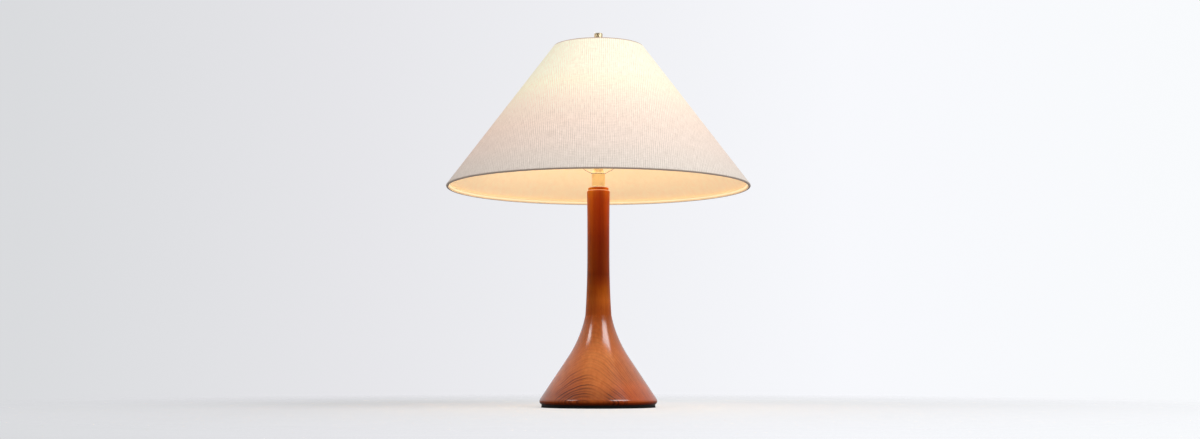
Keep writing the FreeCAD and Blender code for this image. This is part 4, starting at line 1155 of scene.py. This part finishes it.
def wall():
    """A pale wall for the camera and glass, a room for gloss to mirror, and even light for the rest."""
    world = bpy.data.worlds.new("pale_wall")
    world.use_nodes = True
    bpy.context.scene.world = world
    paint = Nodes(world.node_tree)
    world.node_tree.nodes.clear()
    x, y, _ = paint.axes(paint.node("ShaderNodeTexCoord").outputs["Generated"])
    seen_wall = paint.ramp(
        paint.spread(x, -0.36, 0.36),
        (0.00, (0.70, 0.71, 0.73)),
        (0.28, (0.79, 0.79, 0.82)),
        (0.72, (0.935, 0.945, 0.98)),
        (1.00, (0.945, 0.96, 0.98)),
    )
    room = paint.ramp(
        paint.spread(y, -1.0, 1.0),
        (0.00, (0.02, 0.02, 0.02)),
        (0.22, (0.05, 0.05, 0.052)),
        (0.50, (0.36, 0.36, 0.37)),
        (0.75, (0.64, 0.64, 0.66)),
    )
    rays = paint.node("ShaderNodeLightPath").outputs
    out = paint.node("ShaderNodeOutputWorld")
    shown = paint.background((0.97, 0.98, 1.0), 0.60)
    for ray, colour in (
        ("Is Glossy Ray", room),
        ("Is Transmission Ray", seen_wall),
        ("Is Camera Ray", seen_wall),
    ):
        both = paint.node("ShaderNodeMixShader")
        paint.feed(both.inputs[0], rays[ray])
        paint.feed(both.inputs[1], shown)
        paint.feed(both.inputs[2], paint.background(colour, 1.0))
        shown = both.outputs[0]
    paint.feed(out.inputs["Surface"], shown)


def softbox(name, azimuth, elevation, size, power):
    """A soft light at an angle in degrees from the camera's side, positive to the right."""
    data = bpy.data.lights.new(name, "AREA")
    data.shape = "RECTANGLE"
    data.size, data.size_y = size
    data.energy = power
    data.color = (0.93, 0.97, 1.0)
    lamp = bpy.data.objects.new(name, data)
    a, e = math.radians(azimuth), math.radians(elevation)
    way = Vector((math.sin(a) * math.cos(e), -math.cos(a) * math.cos(e), math.sin(e)))
    lamp.location = Vector(LIGHT_AIM) + way * LIGHT_DISTANCE
    lamp.rotation_euler = way.to_track_quat("Z", "Y").to_euler()
    bpy.context.scene.collection.objects.link(lamp)


def lights():
    """A large window at the front right, a small one at the left, and the bulb."""
    softbox("window_right", 50, 38, (1.25, 0.95), 27.5)
    softbox("window_left", -62, 35, (0.62, 0.50), 7.2)
    data = bpy.data.lights.new("bulb_light", "POINT")
    data.energy = 0.75
    data.color = tuple(colours().glow)
    data.shadow_soft_size = BULB_LIGHT_RADIUS
    glow = bpy.data.objects.new("bulb_light", data)
    glow.location = (0, 0, sizes().bulb_height)
    bpy.context.scene.collection.objects.link(glow)


def camera():
    """A camera just above the floor's level that looks slightly up at the lamp."""
    data = bpy.data.cameras.new("camera")
    data.sensor_width = CAMERA_SENSOR
    data.lens = CAMERA_SENSOR * CAMERA_FOCUS
    data.clip_start = 0.05
    eye = bpy.data.objects.new("camera", data)
    eye.location = CAMERA_PLACE
    eye.rotation_euler = (math.radians(90 + CAMERA_LIFT), 0, 0)
    bpy.context.scene.collection.objects.link(eye)
    bpy.context.scene.camera = eye
    bpy.context.scene.view_settings.view_transform = "Standard"


# ---------------------------------------------------------------- panel and start


class LAMP_PT_panel(bpy.types.Panel):
    """The lamp's pieces, sizes and colours"""

    bl_label = "Column lamp"
    bl_idname = "LAMP_PT_panel"
    bl_space_type = "VIEW_3D"
    bl_region_type = "UI"
    bl_category = "Lamp"

    def draw(self, context):
        for group in (context.scene.lamp_sizes, context.scene.lamp_colours):
            box = self.layout.box()
            for name in group.bl_rna.properties.keys():
                if name not in ("rna_type", "name"):
                    box.prop(group, name)
        for operator in OPERATORS:
            self.layout.operator(operator.bl_idname)


OPERATORS = (
    LAMP_OT_wood,
    LAMP_OT_base,
    LAMP_OT_metals,
    LAMP_OT_socket,
    LAMP_OT_bulb,
    LAMP_OT_shade,
    LAMP_OT_stage,
)
CLASSES = (LampSizes, LampColours, *OPERATORS, LAMP_PT_panel)


def register():
    for kind in CLASSES:
        bpy.utils.register_class(kind)
    bpy.types.Scene.lamp_sizes = bpy.props.PointerProperty(type=LampSizes)
    bpy.types.Scene.lamp_colours = bpy.props.PointerProperty(type=LampColours)


def unregister():
    del bpy.types.Scene.lamp_colours
    del bpy.types.Scene.lamp_sizes
    for kind in reversed(CLASSES):
        bpy.utils.unregister_class(kind)


def main():
    register()
    bpy.ops.lamp.wood()
    bpy.ops.lamp.base()
    bpy.ops.lamp.metals()
    bpy.ops.lamp.socket()
    bpy.ops.lamp.bulb()
    bpy.ops.lamp.shade()
    bpy.ops.lamp.stage()


if __name__ == "__main__":
    main()
